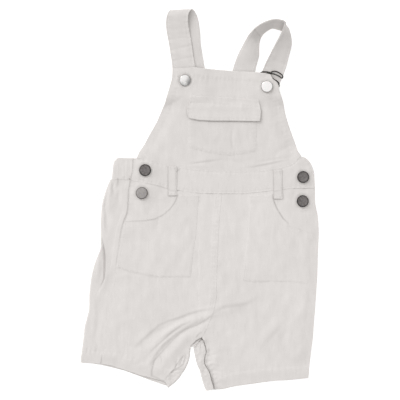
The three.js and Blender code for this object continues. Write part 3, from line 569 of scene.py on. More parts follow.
def makeStitches(area):
    # Each stitch is a short thread: rings of a flattened round section that close to a point at both ends
    a, b, n = [np.concatenate(part) for part in zip(*stitchRows[area])]
    side = unit(np.cross(n, unit(b - a)))
    up = np.cross(unit(b - a), side)
    shares = np.array([0, 0.12, 0.5, 0.88, 1])
    radii = np.array([0.25, 0.85, 1, 0.85, 0.25])
    turn = np.arange(stitchSize["sides"]) * 2 * np.pi / stitchSize["sides"]
    rise = np.sin(np.pi * shares) * stitchSize["height"] * 0.6 - stitchSize["sink"]
    centre = blend(a[:, None], b[:, None], shares[:, None]) + rise[:, None] * up[:, None]
    ring = (side[:, None, None] * (np.cos(turn) * stitchSize["width"] / 2)[:, None]
            + up[:, None, None] * (np.sin(turn) * stitchSize["height"] / 2)[:, None])
    points = centre[:, :, None] + ring * radii[:, None, None]
    count, rings, sides = points.shape[:3]
    index = np.arange(rings * sides).reshape(rings, sides)
    ends = [index[0, [0, 3, 2, 1]], index[0, [0, 5, 4, 3]], index[-1, [0, 1, 2, 3]], index[-1, [0, 3, 4, 5]]]
    base = (np.arange(count) * rings * sides)[:, None, None]
    sides = quadsOf(index, around=True) + base
    faces = np.concatenate([sides.reshape(-1, 4), (ends + base).reshape(-1, 4)])
    flat = points.reshape(-1, 3)
    return makeMesh("stitching_" + area, flat, faces[:, ::-1], flat[:, :2])


# Shader helpers

def setInputs(tree, node, values):
    # Each value is a plain one, or another node's output, which is linked
    for key, value in values.items():
        if isinstance(value, bpy.types.NodeSocket):
            tree.links.new(value, node.inputs[key])
        else:
            node.inputs[key].default_value = value


def addNode(tree, kind, inputs=None, **settings):
    node = tree.nodes.new("ShaderNode" + kind)
    for name, value in settings.items():
        setattr(node, name, value)
    setInputs(tree, node, inputs or {})
    return node


def mathNode(tree, operation, *values):
    return addNode(tree, "Math", dict(enumerate(values)), operation=operation).outputs[0]


def weightedSum(tree, *terms):
    # The sum of output * weight over the terms
    parts = [mathNode(tree, "MULTIPLY", output, weight) for output, weight in terms]
    total = parts[0]
    for part in parts[1:]:
        total = mathNode(tree, "ADD", total, part)
    return total


def mixColour(tree, share, a, b):
    # The Mix node's colour sockets are its inputs 6 and 7 and its output 2
    return addNode(tree, "Mix", {0: share, 6: a, 7: b}, data_type="RGBA").outputs[2]


def bumpNormal(tree, height, strength, distance):
    return addNode(tree, "Bump", {"Height": height, "Strength": strength, "Distance": distance}).outputs[0]


def linenWeaveGroup():
    # Puts out the cloth's tint and its height: a plain weave, with slubs where a thread runs thick
    group = bpy.data.node_groups.new("linenWeave", "ShaderNodeTree")
    for name, kind, way in (("Vector", "Vector", "INPUT"), ("Thread Pitch", "Float", "INPUT"),
                            ("Slub Strength", "Float", "INPUT"), ("Tint", "Float", "OUTPUT"),
                            ("Height", "Float", "OUTPUT")):
        group.interface.new_socket(name=name, in_out=way, socket_type="NodeSocket" + kind)
    source, sink = group.nodes.new("NodeGroupInput"), group.nodes.new("NodeGroupOutput")

    def streaks(stretch, low, high, detail=2.0):
        # Long thin noise turned into sparse streaks between two levels
        mapping = addNode(group, "Mapping", {"Vector": source.outputs["Vector"], "Scale": stretch})
        noise = addNode(group, "TexNoise", {"Vector": mapping.outputs[0], "Scale": 1.0, "Detail": detail})
        levels = {"Value": noise.outputs[0], "From Min": low, "From Max": high}
        return addNode(group, "MapRange", levels).outputs[0]

    split = addNode(group, "SeparateXYZ", {0: source.outputs["Vector"]})
    pitch = source.outputs["Thread Pitch"]
    threads = [mathNode(group, "DIVIDE", split.outputs[axis], pitch) for axis in (0, 1)]
    waves = [mathNode(group, "SINE", mathNode(group, "MULTIPLY", thread, math.pi)) for thread in threads]
    weave = mathNode(group, "MULTIPLY", *waves)
    warpLight = streaks((340, 52, 1), 0.58, 0.74)
    warpDark = streaks((300, 46, 1), 0.42, 0.26)
    weftLight = streaks((60, 330, 1), 0.6, 0.78)
    broad = streaks((130, 34, 1), 0.2, 0.8, detail=4.0)
    mottle = streaks((90, 60, 1), 0.2, 0.8, detail=4.0)
    cloudy = streaks((18, 13, 1), 0.2, 0.8)
    slubs = weightedSum(group, (warpLight, 1), (warpDark, -1), (weftLight, 0.5))
    slubs = mathNode(group, "MULTIPLY", slubs, source.outputs["Slub Strength"])
    tint = weightedSum(group, (slubs, 0.17), (mottle, 0.34), (cloudy, 0.3), (broad, 0.3), (weave, 0.09))
    setInputs(group, sink, {"Tint": tint, "Height": weightedSum(group, (weave, 0.35), (slubs, 0.5))})
    return group


linenWeave = linenWeaveGroup()
# gap is the colour that painted shade in gaps and folds darkens the linen towards
clothLook = {
    "dark": (0.704, 0.673, 0.657), "light": (0.836, 0.806, 0.785), "gap": (0.2, 0.185, 0.18, 1),
    "roughness": 0.93, "sheen": 0.18, "sheenRoughness": 0.5, "specular": 0.2,
    "bump": 0.34, "bumpHeight": 0.0003, "threadPitch": 0.00062,
}


def newMaterial(name):
    material = bpy.data.materials.new(name)
    material.use_nodes = True
    return material, material.node_tree, material.node_tree.nodes["Principled BSDF"]


def clothMaterial(name, darker=1.0, slubs=1.0):
    # Linen in the weave's tint, darkened towards the gap colour by painted shade from a point attribute,
    # where layers meet and in folds
    material, tree, shader = newMaterial(name)
    weave = addNode(tree, "Group", node_tree=linenWeave)
    place = addNode(tree, "UVMap", uv_map="UVMap").outputs[0]
    setInputs(tree, weave, {
        "Vector": place, "Thread Pitch": clothLook["threadPitch"], "Slub Strength": slubs,
    })
    dark, light = [[c * darker for c in clothLook[tone]] + [1] for tone in ("dark", "light")]
    linenTint = mixColour(tree, weave.outputs["Tint"], dark, light)
    # painted shade of gaps and folds, read from the point attribute
    gap = addNode(tree, "Attribute", attribute_name="paintedShade").outputs["Fac"]
    setInputs(tree, shader, {
        "Base Color": mixColour(tree, gap, linenTint, clothLook["gap"]),
        "Normal": bumpNormal(tree, weave.outputs["Height"], clothLook["bump"], clothLook["bumpHeight"]),
        "Roughness": clothLook["roughness"], "Sheen Weight": clothLook["sheen"],
        "Sheen Roughness": clothLook["sheenRoughness"], "Specular IOR Level": clothLook["specular"],
    })
    return material


def metalMaterial(name, look):
    # Plated metal: worn lighter and darker by a fine noise, with a slightly uneven polish
    material, tree, shader = newMaterial(name)
    place = addNode(tree, "TexCoord").outputs["Object"]
    noise = addNode(tree, "TexNoise", {"Vector": place, "Scale": look["grain"], "Detail": 5}).outputs[0]
    colour = mixColour(tree, noise, (*look["dark"], 1), (*look["light"], 1))
    if "paintedRimShade" in look:
        # Painted shade: the colour is darkened in a ring in the groove round the cap and under its rim, where
        # shade falls; the map's u is the share of the radius
        paintedRimShade = look["paintedRimShade"]
        split = addNode(tree, "SeparateXYZ", {0: addNode(tree, "UVMap", uv_map="UVMap").outputs[0]})
        fromGroove = mathNode(tree, "ABSOLUTE", mathNode(tree, "SUBTRACT", split.outputs[0], paintedRimShade["at"]))
        levels = {"Value": fromGroove, "From Min": paintedRimShade["wide"] * 0.3, "From Max": paintedRimShade["wide"]}
        offRing = addNode(tree, "MapRange", levels).outputs[0]
        colour = mixColour(tree, offRing, (*paintedRimShade["colour"], 1), colour)
    levels = {"Value": noise, "To Min": look["rough"][0], "To Max": look["rough"][1]}
    setInputs(tree, shader, {
        "Base Color": colour, "Roughness": addNode(tree, "MapRange", levels).outputs[0], "Metallic": 1.0,
        "Normal": bumpNormal(tree, noise, 0.12, 0.0001),
    })
    return material


linen = clothMaterial("linenCloth")
# The bib and the straps get darker copies of the linen: painted shade, standing in for the dimmer light over
# the top of the garment
linenBib = clothMaterial("linenBib", darker=0.97, slubs=0.85)
linenTrim = clothMaterial("linenTrim", darker=0.99, slubs=0.7)
linenStrap = clothMaterial("linenStrap", darker=0.945, slubs=0.7)
linenThread = clothMaterial("linenThread", darker=1.03, slubs=0.2)
# each button metal's ring entry paints shade round the cap's rim and under it
nickel = metalMaterial("nickelPlate", {
    "dark": (0.78, 0.758, 0.748), "light": (0.89, 0.87, 0.864), "rough": (0.2, 0.3), "grain": 900,
    "paintedRimShade": {"at": 0.95, "wide": 0.08, "colour": (0.5, 0.492, 0.486)}})
pewter = metalMaterial("pewterPlate", {
    "dark": (0.03, 0.027, 0.026), "light": (0.3, 0.282, 0.277), "rough": (0.24, 0.5), "grain": 420,
    "paintedRimShade": {"at": 0.97, "wide": 0.2, "colour": (0.05, 0.046, 0.045)}})
# Painted light: a lighter copy of the pewter stands in for the brighter reflection on the lower left side
# button
paintedLightPewter = metalMaterial("paintedLightPewterPlate", {
    "dark": (0.22, 0.21, 0.206), "light": (0.49, 0.47, 0.461), "rough": (0.42, 0.64), "grain": 420,
    "paintedRimShade": {"at": 0.97, "wide": 0.14, "colour": (0.2, 0.19, 0.186)}})
wireMetal = metalMaterial("darkWire", {
    "dark": (0.02, 0.019, 0.018), "light": (0.09, 0.085, 0.08), "rough": (0.28, 0.42), "grain": 1100})
print("stage: materials made")


def finishPiece(piece, node, material):
    piece.data.materials.append(material)
    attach(piece, "root")
    if node:
        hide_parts(node)


# Front legs

frontLegs = {
    "hemRise": 0.3, "hemSettle": 0.75, "hemStitch": 15.5, "seamWide": 7.5, "seamRise": 0.3,
    "seamRows": (1.6, 6.0), "sideRow": 2.0, "count": (150, 230),
}


def hemRelief(hem, x, y, seed, share=1.0):
    # The hem stands up by its turning, and its edge settles on the back's over a share of the full drop
    line = insetLine(hem, frontLegs["hemStitch"])
    away, _, side, _ = nearLine(line, x, y)
    rise = frontLegs["hemRise"] * np.where(side < 0, 1.0, 1 - smoothStep(0, 1.4, away))
    settle = share * frontLegs["hemSettle"] * bell(nearLine(hem, x, y)[0], 7)
    return rise - settle + stitchDent(line, x, y, depth=0.24, pucker=0.12, pitch=7.5, seed=seed)


def sideSeamShare(y):
    # The side seam's relief fades towards the hem
    return blend(0.3, 1.0, smoothStep(120, 175, y))


def leftLegHeight(x, y):
    seam = doubledStrip(centreFront, x, y, frontLegs["seamWide"], frontLegs["seamRise"], -1.0)
    rows = [insetLine(centreFront, -away) for away in frontLegs["seamRows"]]
    dents = sum(stitchDent(row, x, y, depth=0.16, pucker=0.06, pitch=6, seed=3) for row in rows)
    side = sideSeamShare(y) * stitchDent(insetLine(sideSeam, frontLegs["sideRow"]), x, y, seed=7)
    share = blend(0.3, 1.0, smoothStep(0, 14, x - leftHem[0][0]))
    return legTop(x, y) + hemRelief(leftHem, x, y, 5, share) + seam + dents + side


def rightLegHeight(x, y):
    # The inseam's edge stands up in waves over the strip that is turned to the front
    away, _, _, run = nearLine(rightInnerEdge, x, y)
    curl = (0.9 + 0.4 * np.sin(run / 2.3)) * bell(away, 2.6)
    edge = stitchDent(insetLine(rightInseam, 3.4), x, y, pucker=0.25, pitch=6, seed=9)
    return legTop(x, y) + hemRelief(rightHem, x, y, 6, 0.2) + edge + curl


def makeFrontLegs():
    seamX = centreFront[0][0]
    lowBand = shifted(bandBottom, 0, -0.3)
    centre = [(seamX, acrossEdge(lowBand, 0, seamX))] + centreFront[1:]
    topLeft, topRight = [p for p in lowBand if p[0] < seamX], [p for p in lowBand if p[0] > seamX]
    left = sewnPanel("leg_front_left_cloth", {
        "left": (topLeft[:1] + sideSeam[1:])[::-1],
        "right": (shifted(centre, -0.1, 0) + crotchLeft[::-1][1:] + leftInseam[1:])[::-1],
        "bottom": leftHem,
        "top": topLeft + shifted(centre[:1], -0.1, 0),
    }, (115, 250), leftLegHeight, count=frontLegs["count"])
    right = sewnPanel("leg_front_right_cloth", {
        "left": (shifted(centre, 0.1, 0) + crotchRight[::-1][1:] + rightInseam[1:])[::-1],
        "right": (topRight[-1:] + rightOutline[1:])[::-1],
        "bottom": rightHem,
        "top": shifted(centre[:1], 0.1, 0) + topRight,
    }, (120, 250), rightLegHeight, count=frontLegs["count"])
    finishPiece(
        left, "leg_front_left", linen)
    finishPiece(
        right, "leg_front_right", linen)
    for away in frontLegs["seamRows"]:
        addStitches("legs", insetLine(centreFront, -away)[:7], leftLegHeight)
    addStitches("legs", insetLine(sideSeam, frontLegs["sideRow"]), leftLegHeight)
    addStitches("legs", insetLine(leftHem, frontLegs["hemStitch"]), leftLegHeight)
    addStitches("legs", insetLine(rightHem, frontLegs["hemStitch"]), rightLegHeight)


makeFrontLegs()
print("stage: front legs")


# Back legs, turned up round the left outline and round the inner legs

def foldedCloth(name, under, fold, over, hem, high, wall, counts, relief, lowRelief=None):
    # A wall whose section runs under, round a half circle at the fold and back on top;
    # counts are its steps under, round, on top and along
    half = wall / 2
    radius = (high - half) / 2
    v = gridSteps(counts[3], 250)[:, None]
    foldAt, overAt, underAt = [roundedEdge(line, v[:, 0]) for line in (fold, over, under)]
    inward = unit(overAt - foldAt)
    inset = foldAt + inward * (radius + half)
    w = np.linspace(0, 1, counts[0] + 1)[::-1]
    bottom = edgeAt([inset[0], *(hem[1:] if hem else [underAt[0]])], w)
    top = edgeAt([inset[-1], underAt[-1]], w)
    ww, vv = w[None, :, None], v[..., None]
    corner = blend(blend(inset[0], underAt[0], ww), blend(inset[-1], underAt[-1], ww), vv)
    lowPlace = blend(bottom[None], top[None], vv) + blend(inset[:, None], underAt[:, None], ww) - corner
    turn = np.linspace(0, np.pi, counts[1] + 1)[None, 1:-1]
    highPlace = blend(inset[:, None], overAt[:, None], np.linspace(0, 1, counts[2] + 1)[None, :, None])
    bump = relief(highPlace[..., 0], highPlace[..., 1])
    faces = []
    for side in (1, -1):
        reach = radius + side * half
        lowZ = np.full(lowPlace.shape[:2], half - side * half)
        if side < 0 and lowRelief:
            lowZ = lowZ + lowRelief(lowPlace[..., 0])
        arcPlace = inset[:, None] - inward[:, None] * (reach * np.sin(turn))[..., None]
        arcZ = half + radius - reach * np.cos(turn) + bump[:, :1] * (0.5 - 0.5 * np.cos(turn)) ** 2
        section = ((lowPlace, lowZ), (arcPlace, arcZ), (highPlace, high + side * half + bump))
        faces.append(np.concatenate([np.concatenate([place, z[..., None]], -1) for place, z in section], 1))
    outer, inner = faces
    run = np.cumsum(np.linalg.norm(np.diff(outer, axis=1, prepend=outer[:, :1]), axis=2), 1)
    # painted shade of gaps and folds, on the top side only
    onTop = smoothStep(0.5 * high, 0.8 * high, outer[..., 2])
    shade = onTop * paintedShade(outer[..., 0], outer[..., 1])
    return wallMesh(name, outer, inner, np.stack([run, outer[..., 1]], -1), shade)


backLegs = {
    "rollWall": 1.3, "plainWall": 1.4, "wrapWall": 1.2, "tuck": 7.0,
    "innerLeft": [(-7.5, 58), (-15, 52), (-18, 40), (-23, 29), (-30, 20), (-41, 8)],
    "innerRight": [(-1.5, 58), (-1.5, 52), (0, 42), (4, 30), (7, 20), (9, 10), (12, 3)],
    "archLow": [(-9.6, 56.4), (-7, 56.8), (-2.2, 61.4), (2, 65.2)],
    "archTop": [(-10.2, 56.9), (-6, 61.6), (-1.4, 65.4), (2.8, 66.4)],
    "roll": [
        ([(-122.5, 192), (-119, 179), (-117, 161), (-117.5, 141), (-123, 128)], 1.2, 6, 7),
        ([(-122.5, 190), (-119.4, 179), (-117.4, 161), (-117.9, 141), (-122.5, 130)], -1.6, 0.9),
        ([(-115, 246), (-117, 230), (-114.5, 214)], -1.1, 2.8),
        ([(-118, 226), (-119, 212), (-117, 198)], 0.7, 2),
        ([(-106, 262), (-107, 255), (-104, 246)], -0.8, 1.5),
        ([(-111, 254), (-112.5, 240), (-111, 222)], 0.7, 2.4),
        ([(-124, 170), (-125.5, 155), (-127, 140)], 0.9, 3.5),
        ([(-113, 258), (-108, 244), (-107, 225)], 0.7, 3.5),
        ([(-105, 262), (-101, 247), (-100, 230)], -0.5, 2.4),
        ([(-118, 240), (-113, 222), (-114, 200)], -0.5, 3),
        ([(-96, 260), (-94, 246), (-95, 232)], 0.4, 2.4),
        ([(-132, 120), (-130, 96), (-134, 72)], 0.5, 4),
        ([(-124, 110), (-126, 84), (-130, 60)], -0.4, 3),
    ],
}


def leftRollRelief(x, y):
    gather = 0.3 * waviness(x, y, (5.5, 40), 53) * smoothStep(232, 258, y)
    hemRow = insetLine([leftOutline[-1], (-122.5, 34.6)], frontLegs["hemStitch"])
    seam = doubledStrip(sideSeam, x, y, 5.5, frontLegs["seamRise"], -1.0) * sideSeamShare(y)
    settle = smoothStep(0, 4, x - acrossEdge(leftOutline, 1, y))
    own = foldSum(backLegs["roll"], x, y) + gather + 0.8 * clothSoftness(x, y, 51)
    return (own + stitchDent(hemRow, x, y, pucker=0.2)) * settle + seam


def wrapRelief(x, y):
    soft = 0.25 * waviness(x, y, (9, 12), 61) + 0.15 * waviness(x, y, (5, 7), 62)
    return foldSum(innerCreases, x, y) + soft


def rightWrapRelief(x, y):
    # The strip dips where it goes under the wavy edge of the front
    away, _, _, run = nearLine(rightInnerEdge, x, y)
    return wrapRelief(x, y) - (0.8 + 0.5 * np.sin(run / 2.9)) * bell(away, 1.9)


def innerWrap(name, fold, over, relief):
    # The strip is tucked under from its fold, on the same side as its free edge
    under = fold + backLegs["tuck"] * unit(edgeAt(over, np.linspace(0, 1, len(fold))) - fold)
    return foldedCloth(name, under, fold, over, None, layers["wrap"], backLegs["wrapWall"],
                       (6, 10, 22, 90), relief)


def makeBackLegs():
    outline = [(-110.8, 264.4)] + leftOutline[1:]
    over = [(-75, 264), (-77, 240), (-79, 224), (-83, 217.5), (-93.9, 211)] + shifted(sideSeam[6:], -0.2, 0)
    under = shifted(centreBack, -0.2, 0) + backLegs["innerLeft"]
    left = foldedCloth(
        "leg_back_left_cloth", under[::-1], outline[::-1], over[::-1], leftBackHem,
        layers["folded"], backLegs["rollWall"], (60, 12, 48, 170), leftRollRelief)
    right = sewnPanel("leg_back_right_cloth", {
        "left": (shifted(centreBack, 0.2, 0) + backLegs["innerRight"])[::-1],
        "right": rightOutline[::-1],
        "bottom": rightBackHem,
        "top": [(8.2, 259), (144, 253.5)],
    }, (135, 250), lambda x, y: backLegs["plainWall"] + 0 * x, shell=backLegs["plainWall"], count=(60, 100))
    overLeft = [(-12.4, 53.4)] + shifted(leftInseam[1:], 0.15, -0.1)
    seam = shifted(rightInseam[:4], -1.15, 0) + shifted(rightInseam[4:], -1.5, -0.2)
    overRight = [(5.8, 64.4), (6.4, 59)] + seam
    wrapLeft = innerWrap("leg_back_left_inner", leftInnerFold[::-1], overLeft[::-1], wrapRelief)
    wrapRight = innerWrap("leg_back_right_inner", rightInnerFold[::-1], overRight[::-1], rightWrapRelief)
    low, top = backLegs["archLow"], backLegs["archTop"]
    arch = sewnPanel("leg_back_left_crotch", {
        "left": [low[0], top[0]], "right": [low[-1], top[-1]], "bottom": low, "top": top,
    }, (17, 4), lambda x, y: 2.9 + 0.2 * waviness(x, y, (5, 5), 71), shell=1.0, count=(40, 10))
    for turned, node in ((wrapLeft, "leg_back_left"), (arch, "leg_back_left"), (wrapRight, "leg_back_right")):
        finishPiece(turned, node, linen)
    finishPiece(left, "leg_back_left", linen)
    finishPiece(right, "leg_back_right", linen)


makeBackLegs()
print("stage: back legs")


# Waistbands

waistbands = {
    "stitch": 1.8, "gather": 4.6, "gatherRise": 0.3, "notchWide": 3.2 ** 0.5,
    "notches": [(-92.9, 265.6), (-86.2, 265.6)],
}
bandRows = [insetLine(bandTop, -waistbands["stitch"]), insetLine(bandBottom, waistbands["stitch"])]


def frontBandHeight(x, y):
    return bandOuter(x, y) + sum(stitchDent(row, x, y, depth=0.3, pucker=0.14, seed=seed)
                                 for row, seed in zip(bandRows, (2, 4)))


def gathers(x, y):
    # The elastic draws the band into upright ripples, deepest half way up
    middle = np.sin(np.pi * np.clip((y - 262) / 29, 0.08, 0.92))
    ripples = waistbands["gatherRise"] * middle * waviness(x, y, (waistbands["gather"], 60), 43)
    notches = sum(bell(np.hypot(x - nx, y - ny), waistbands["notchWide"]) for nx, ny in waistbands["notches"])
    return ripples + 0.5 * middle - 0.35 - 0.9 * notches


def makeWaistbands():
    front = sewnPanel("waistband_front_cloth", {
        "left": [bandBottom[0], (-82.6, 274), bandTop[0]],
        "right": [bandBottom[-1], bandTop[-1]],
        "bottom": bandBottom,
        "top": bandTop,
    }, (229, 28), frontBandHeight, shell=1.6, count=(200, 30))
    finishPiece(front, "waistband_front", linenTrim)
    for row in [line[1:-1] for line in bandRows] + [[(-83, 265), (-82.5, 275), (-80.5, 288.5)]]:
        addStitches("bands", row, frontBandHeight)
    back = foldedCloth(
        "waistband_back_cloth", [(143, 254.7), (141, 270), (138.5, 283)],
        [(-109.2, 264.8), (-108.3, 270), (-107.8, 276), (-107.1, 283), (-105.8, 287.5), (-101.8, 291.4)],
        [(-66, 264.6), (-66, 290.5)], None, layers["folded"], 1.9, (240, 12, 44, 22), gathers,
        lowRelief=lambda x: 0.5 * np.abs(np.sin(np.pi * x / waistbands["gather"])))
    finishPiece(back, "waistband_back", linenTrim)


makeWaistbands()
print("stage: waistbands")


# Bib with its pocket and flap

bibParts = {
    "hem": 8.0, "hemStitch": 7.4, "topHem": 11.0, "topStitch": 10.4, "rise": 0.35, "pocketStitch": 2.0,
    "flapEdgeStitch": 2.2, "flapStitch": 9.5, "flapTopStitch": 1.6,
    "pocketFolds": [
        ([(12, 330), (30, 325), (52, 328)], 0.5, 12), ([(43, 330), (41, 316), (44, 303)], -0.55, 2),
        ([(20, 334), (24, 322), (18, 312)], 0.4, 3), ([(60, 330), (58, 318), (62, 306)], 0.35, 3),
    ],
}
bibRows = [
    insetLine(bibLeft, -bibParts["hemStitch"]), insetLine(bibRight, bibParts["hemStitch"]),
    insetLine(bibTop, -bibParts["topStitch"]),
]
bibPocket = {
    "left": [(-12.5, 306), (-13.7, 311), (-13.2, 354)],
    "right": [(72, 300), (71.5, 325), (72, 354)],
    "top": [(-13.2, 354), (72, 354)],
    "bottom": [(-12.5, 306), (-8, 303), (2.5, 300.5), (15, 297.5), (36, 294.3), (62.5, 297.5), (72, 300)],
}
bibFlap = {
    "left": [(-12.5, 341), (-14.6, 346), (-14.6, 356), (-11, 361), (-10, 369)],
    "right": [(76, 337), (77, 349), (74, 364)],
    "top": [(-10, 369), (11, 368.5), (50, 366), (74, 364)],
    "bottom": [(-12.5, 341), (-1, 338.5), (17.5, 337.5), (40, 337.5), (66, 337), (76, 337)],
}


def lowSides(edges):
    # A pocket's left side, foot and right side as one line
    return edges["left"][::-1] + edges["bottom"][1:] + edges["right"][1:]


flapRow = insetLine(lowSides(bibFlap), bibParts["flapEdgeStitch"])
flapTopRow = insetLine(bibFlap["top"], -bibParts["flapStitch"])


def bibHeight(x, y):
    edges = [
        (bibLeft, bibParts["hem"], -1.0), (bibRight, bibParts["hem"], 1.0),
        (bibTop, bibParts["topHem"], -1.0),
    ]
    hems = [doubledStrip(line, x, y, wide, bibParts["rise"], side) for line, wide, side in edges]
    dents = sum(stitchDent(row, x, y, seed=k) for k, row in enumerate(bibRows))
    return bibOuter(x, y) + np.maximum(hems[0] + hems[1], hems[2]) + dents


def bibPocketHeight(x, y):
    row = insetLine(lowSides(bibPocket), bibParts["pocketStitch"])
    dents = stitchDent(row, x, y, depth=0.22, pucker=0.09, seed=5)
    return bibOuter(x, y) + 0.7 + dents + foldSum(bibParts["pocketFolds"], x, y)


def bibFlapHeight(x, y):
    dents = stitchDent(flapRow, x, y, depth=0.25, pucker=0.1, seed=6)
    dents = dents + stitchDent(flapTopRow, x, y, depth=0.2, pucker=0.08)
    overPocket = 1.1 * (1 - smoothStep(353, 362, y))
    lift = 0.9 * (1 - smoothStep(337, 350, y))
    return bibOuter(x, y) + 1.15 + overPocket + lift + dents


def makeBib():
    foot = [p for p in shifted(bandTop, 0, 0.3) if bibLeft[0][0] < p[0] < bibRight[0][0]]
    bib = sewnPanel("bib_cloth", {
        "left": bibLeft, "right": bibRight, "top": bibTop, "bottom": [bibLeft[0]] + foot + [bibRight[0]],
    }, (160, 115), bibHeight, count=(150, 105))
    pocket = sewnPanel("bib_pocket_cloth", bibPocket, (85, 55), bibPocketHeight, count=(80, 52),
                       sewn=lowSides(bibPocket))
    flap = sewnPanel("bib_flap_cloth", bibFlap, (88, 30), bibFlapHeight, shell=1.1, count=(84, 34),
                     sewn=bibFlap["top"])
    finishPiece(bib, "bib", linenBib)
    finishPiece(pocket, "bib_pocket", linenBib)
    finishPiece(flap, "bib_flap", linenBib)
    pocketRow = insetLine(lowSides(bibPocket)[:-1], bibParts["pocketStitch"])[1:]
    for row, height in (
            (bibRows[0], bibHeight), (bibRows[1][:-2], bibHeight), (bibRows[2], bibHeight),
            (pocketRow, bibPocketHeight), (flapRow, bibFlapHeight), (flapTopRow, bibFlapHeight),
            (insetLine(bibFlap["top"], -bibParts["flapTopStitch"]), bibFlapHeight)):
        addStitches("bib", row, height)


makeBib()
print("stage: bib")


# Hip pockets and belt loops

hipPockets = {
    "pocket_left": {
        "left": [(-102.5, 155), (-99.5, 174), (-95.5, 197), (-93, 211.5)],
        "right": [(-10, 142.5), (-6.5, 170), (-2, 201), (1, 244.5)],
        "top": [
            (-93, 211.5), (-80, 212.5), (-67.5, 213), (-55, 215), (-45, 220), (-36, 227.5), (-30, 236),
            (-26.5, 244.5), (1, 244.5),
        ],
        "bottom": [(-102.5, 155), (-86, 149), (-55, 142.5), (-10, 142.5)],
    },
    "pocket_right": {
        "left": [(54.5, 137), (56.5, 164), (61, 201), (63.5, 244.5)],
        "right": [(144, 132.5), (144.6, 164), (145.4, 196)],
        "top": [
            (63.5, 244.5), (91, 244.5), (92, 241), (94, 235), (97.2, 227.6), (104.6, 215.9), (114, 206.8),
            (127.5, 201.2), (145.4, 196),
        ],
        "bottom": [(54.5, 137), (114, 136), (144, 132.5)],
    },
}
hipLook = {
    "rise": 0.6, "edgeStitch": 1.8, "mouthStitch": (1.8, 6.5),
    "creases": [
        ([(-80, 205), (-72, 190), (-74, 170)], 0.45, 5), ([(-40, 222), (-34, 200), (-38, 176)], -0.35, 4),
        ([(-58, 210), (-54, 190), (-60, 168)], 0.35, 5), ([(-22, 236), (-20, 214), (-24, 190)], 0.3, 4),
        ([(80, 236), (84, 210), (80, 184)], 0.35, 5), ([(102, 216), (96, 196), (100, 172)], -0.35, 4),
        ([(120, 198), (112, 182), (106, 160)], 0.4, 5), ([(88, 180), (92, 160), (88, 142)], -0.3, 3.5),
        ([(134, 190), (128, 170), (130, 148)], 0.35, 5), ([(70, 168), (74, 152), (70, 140)], 0.3, 4),
    ],
}


def hipRows(edges):
    mouth = [insetLine(edges["top"], -away) for away in hipLook["mouthStitch"]]
    return [insetLine(lowSides(edges), hipLook["edgeStitch"])] + mouth


def hipHeight(edges):
    def height(x, y):
        # Flatter at the side seam, by the centre front and along the right pocket's foot
        dents = stitchDent(hipRows(edges)[0], x, y, depth=0.1, pucker=0.05, pitch=7.5)
        flatter = 0.3 * smoothStep(101, 109, x) + 0.5 * smoothStep(133, 142, x) + 0.2 * bell(x + 3, 7)
        foot = (1 - smoothStep(139, 147, y)) * 0.3 * (bell(x - 93, 8) + bell(x - 56, 7))
        return legTop(x, y) + hipLook["rise"] - flatter - foot + dents + foldSum(hipLook["creases"], x, y)
    return height


def makeHipPockets():
    for name, edges in hipPockets.items():
        height = hipHeight(edges)
        piece = sewnPanel(name + "_cloth", edges, (90, 90), height, count=(92, 92), sewn=lowSides(edges))
        finishPiece(piece, name, linen)
        for row in hipRows(edges):
            addStitches("pockets", row, height)


beltLoops = {
    # each loop's middle and how far its ends lean sideways
    "belt_loop_left": ((-33, 262.5), 0.0),
    "belt_loop_right": ((98.3, 258.6), 0.5),
}
loopLook = {"length": 36, "width": 10.5, "lift": 1.0, "arch": 0.25, "row": 1.6, "bars": 3, "barApart": 0.7}


def loopHeight(y0, half):
    def height(x, y):
        # Over the highest cloth within 1.5 mm, thicker at both ends where it is turned under
        under = []
        for near in (y - 1.5, y + 1.5):
            onLeg, onBand = legUnder(x, near) + garment["clothWall"], bandUnder(x) + garment["bandWall"]
            onBib = bibUnder(x, near) + garment["clothWall"]
            low = np.where(near > acrossEdge(bandBottom, 0, x), onBand, onLeg)
            under.append(np.where(near > acrossEdge(bandTop, 0, x), onBib, low))
        t = np.clip((y - y0) / half, -1, 1)
        ends = 0.5 * bell((1 - np.abs(t)) * half, 3.2)
        return np.max(under, axis=0) + loopLook["lift"] + loopLook["arch"] * (1 - t * t) + ends
    return height


def makeBeltLoops():
    half, halfWide = loopLook["length"] / 2, loopLook["width"] / 2
    for name, ((x0, y0), lean) in beltLoops.items():
        height = loopHeight(y0, half)
        corner = [(x0 + sx * halfWide - sy * lean, y0 + sy * half) for sy in (-1, 1) for sx in (-1, 1)]
        piece = sewnPanel(name + "_cloth", {
            "left": [corner[0], corner[2]], "right": [corner[1], corner[3]],
            "bottom": corner[:2], "top": corner[2:],
        }, (loopLook["width"], loopLook["length"]), height, count=(14, 44), sewn=[corner[1], corner[3]])
        finishPiece(piece, name, linenTrim)
        for side in (-1, 1):
            x1 = x0 + side * (halfWide - loopLook["row"])
            addStitches("bands", [(x1 + lean, y0 - half + 2), (x1 - lean, y0 + half - 2)], height)
        for end in (-1, 1):
            for k in range(loopLook["bars"]):
                y1 = y0 + end * (half - loopLook["row"] - loopLook["barApart"] * k)
                row = [(x0 - 4 - end * lean, y1), (x0 + 4 - end * lean, y1)]
                addStitches("bands", row, height, lift=0.05)


makeHipPockets()
makeBeltLoops()
print("stage: pockets and loops")
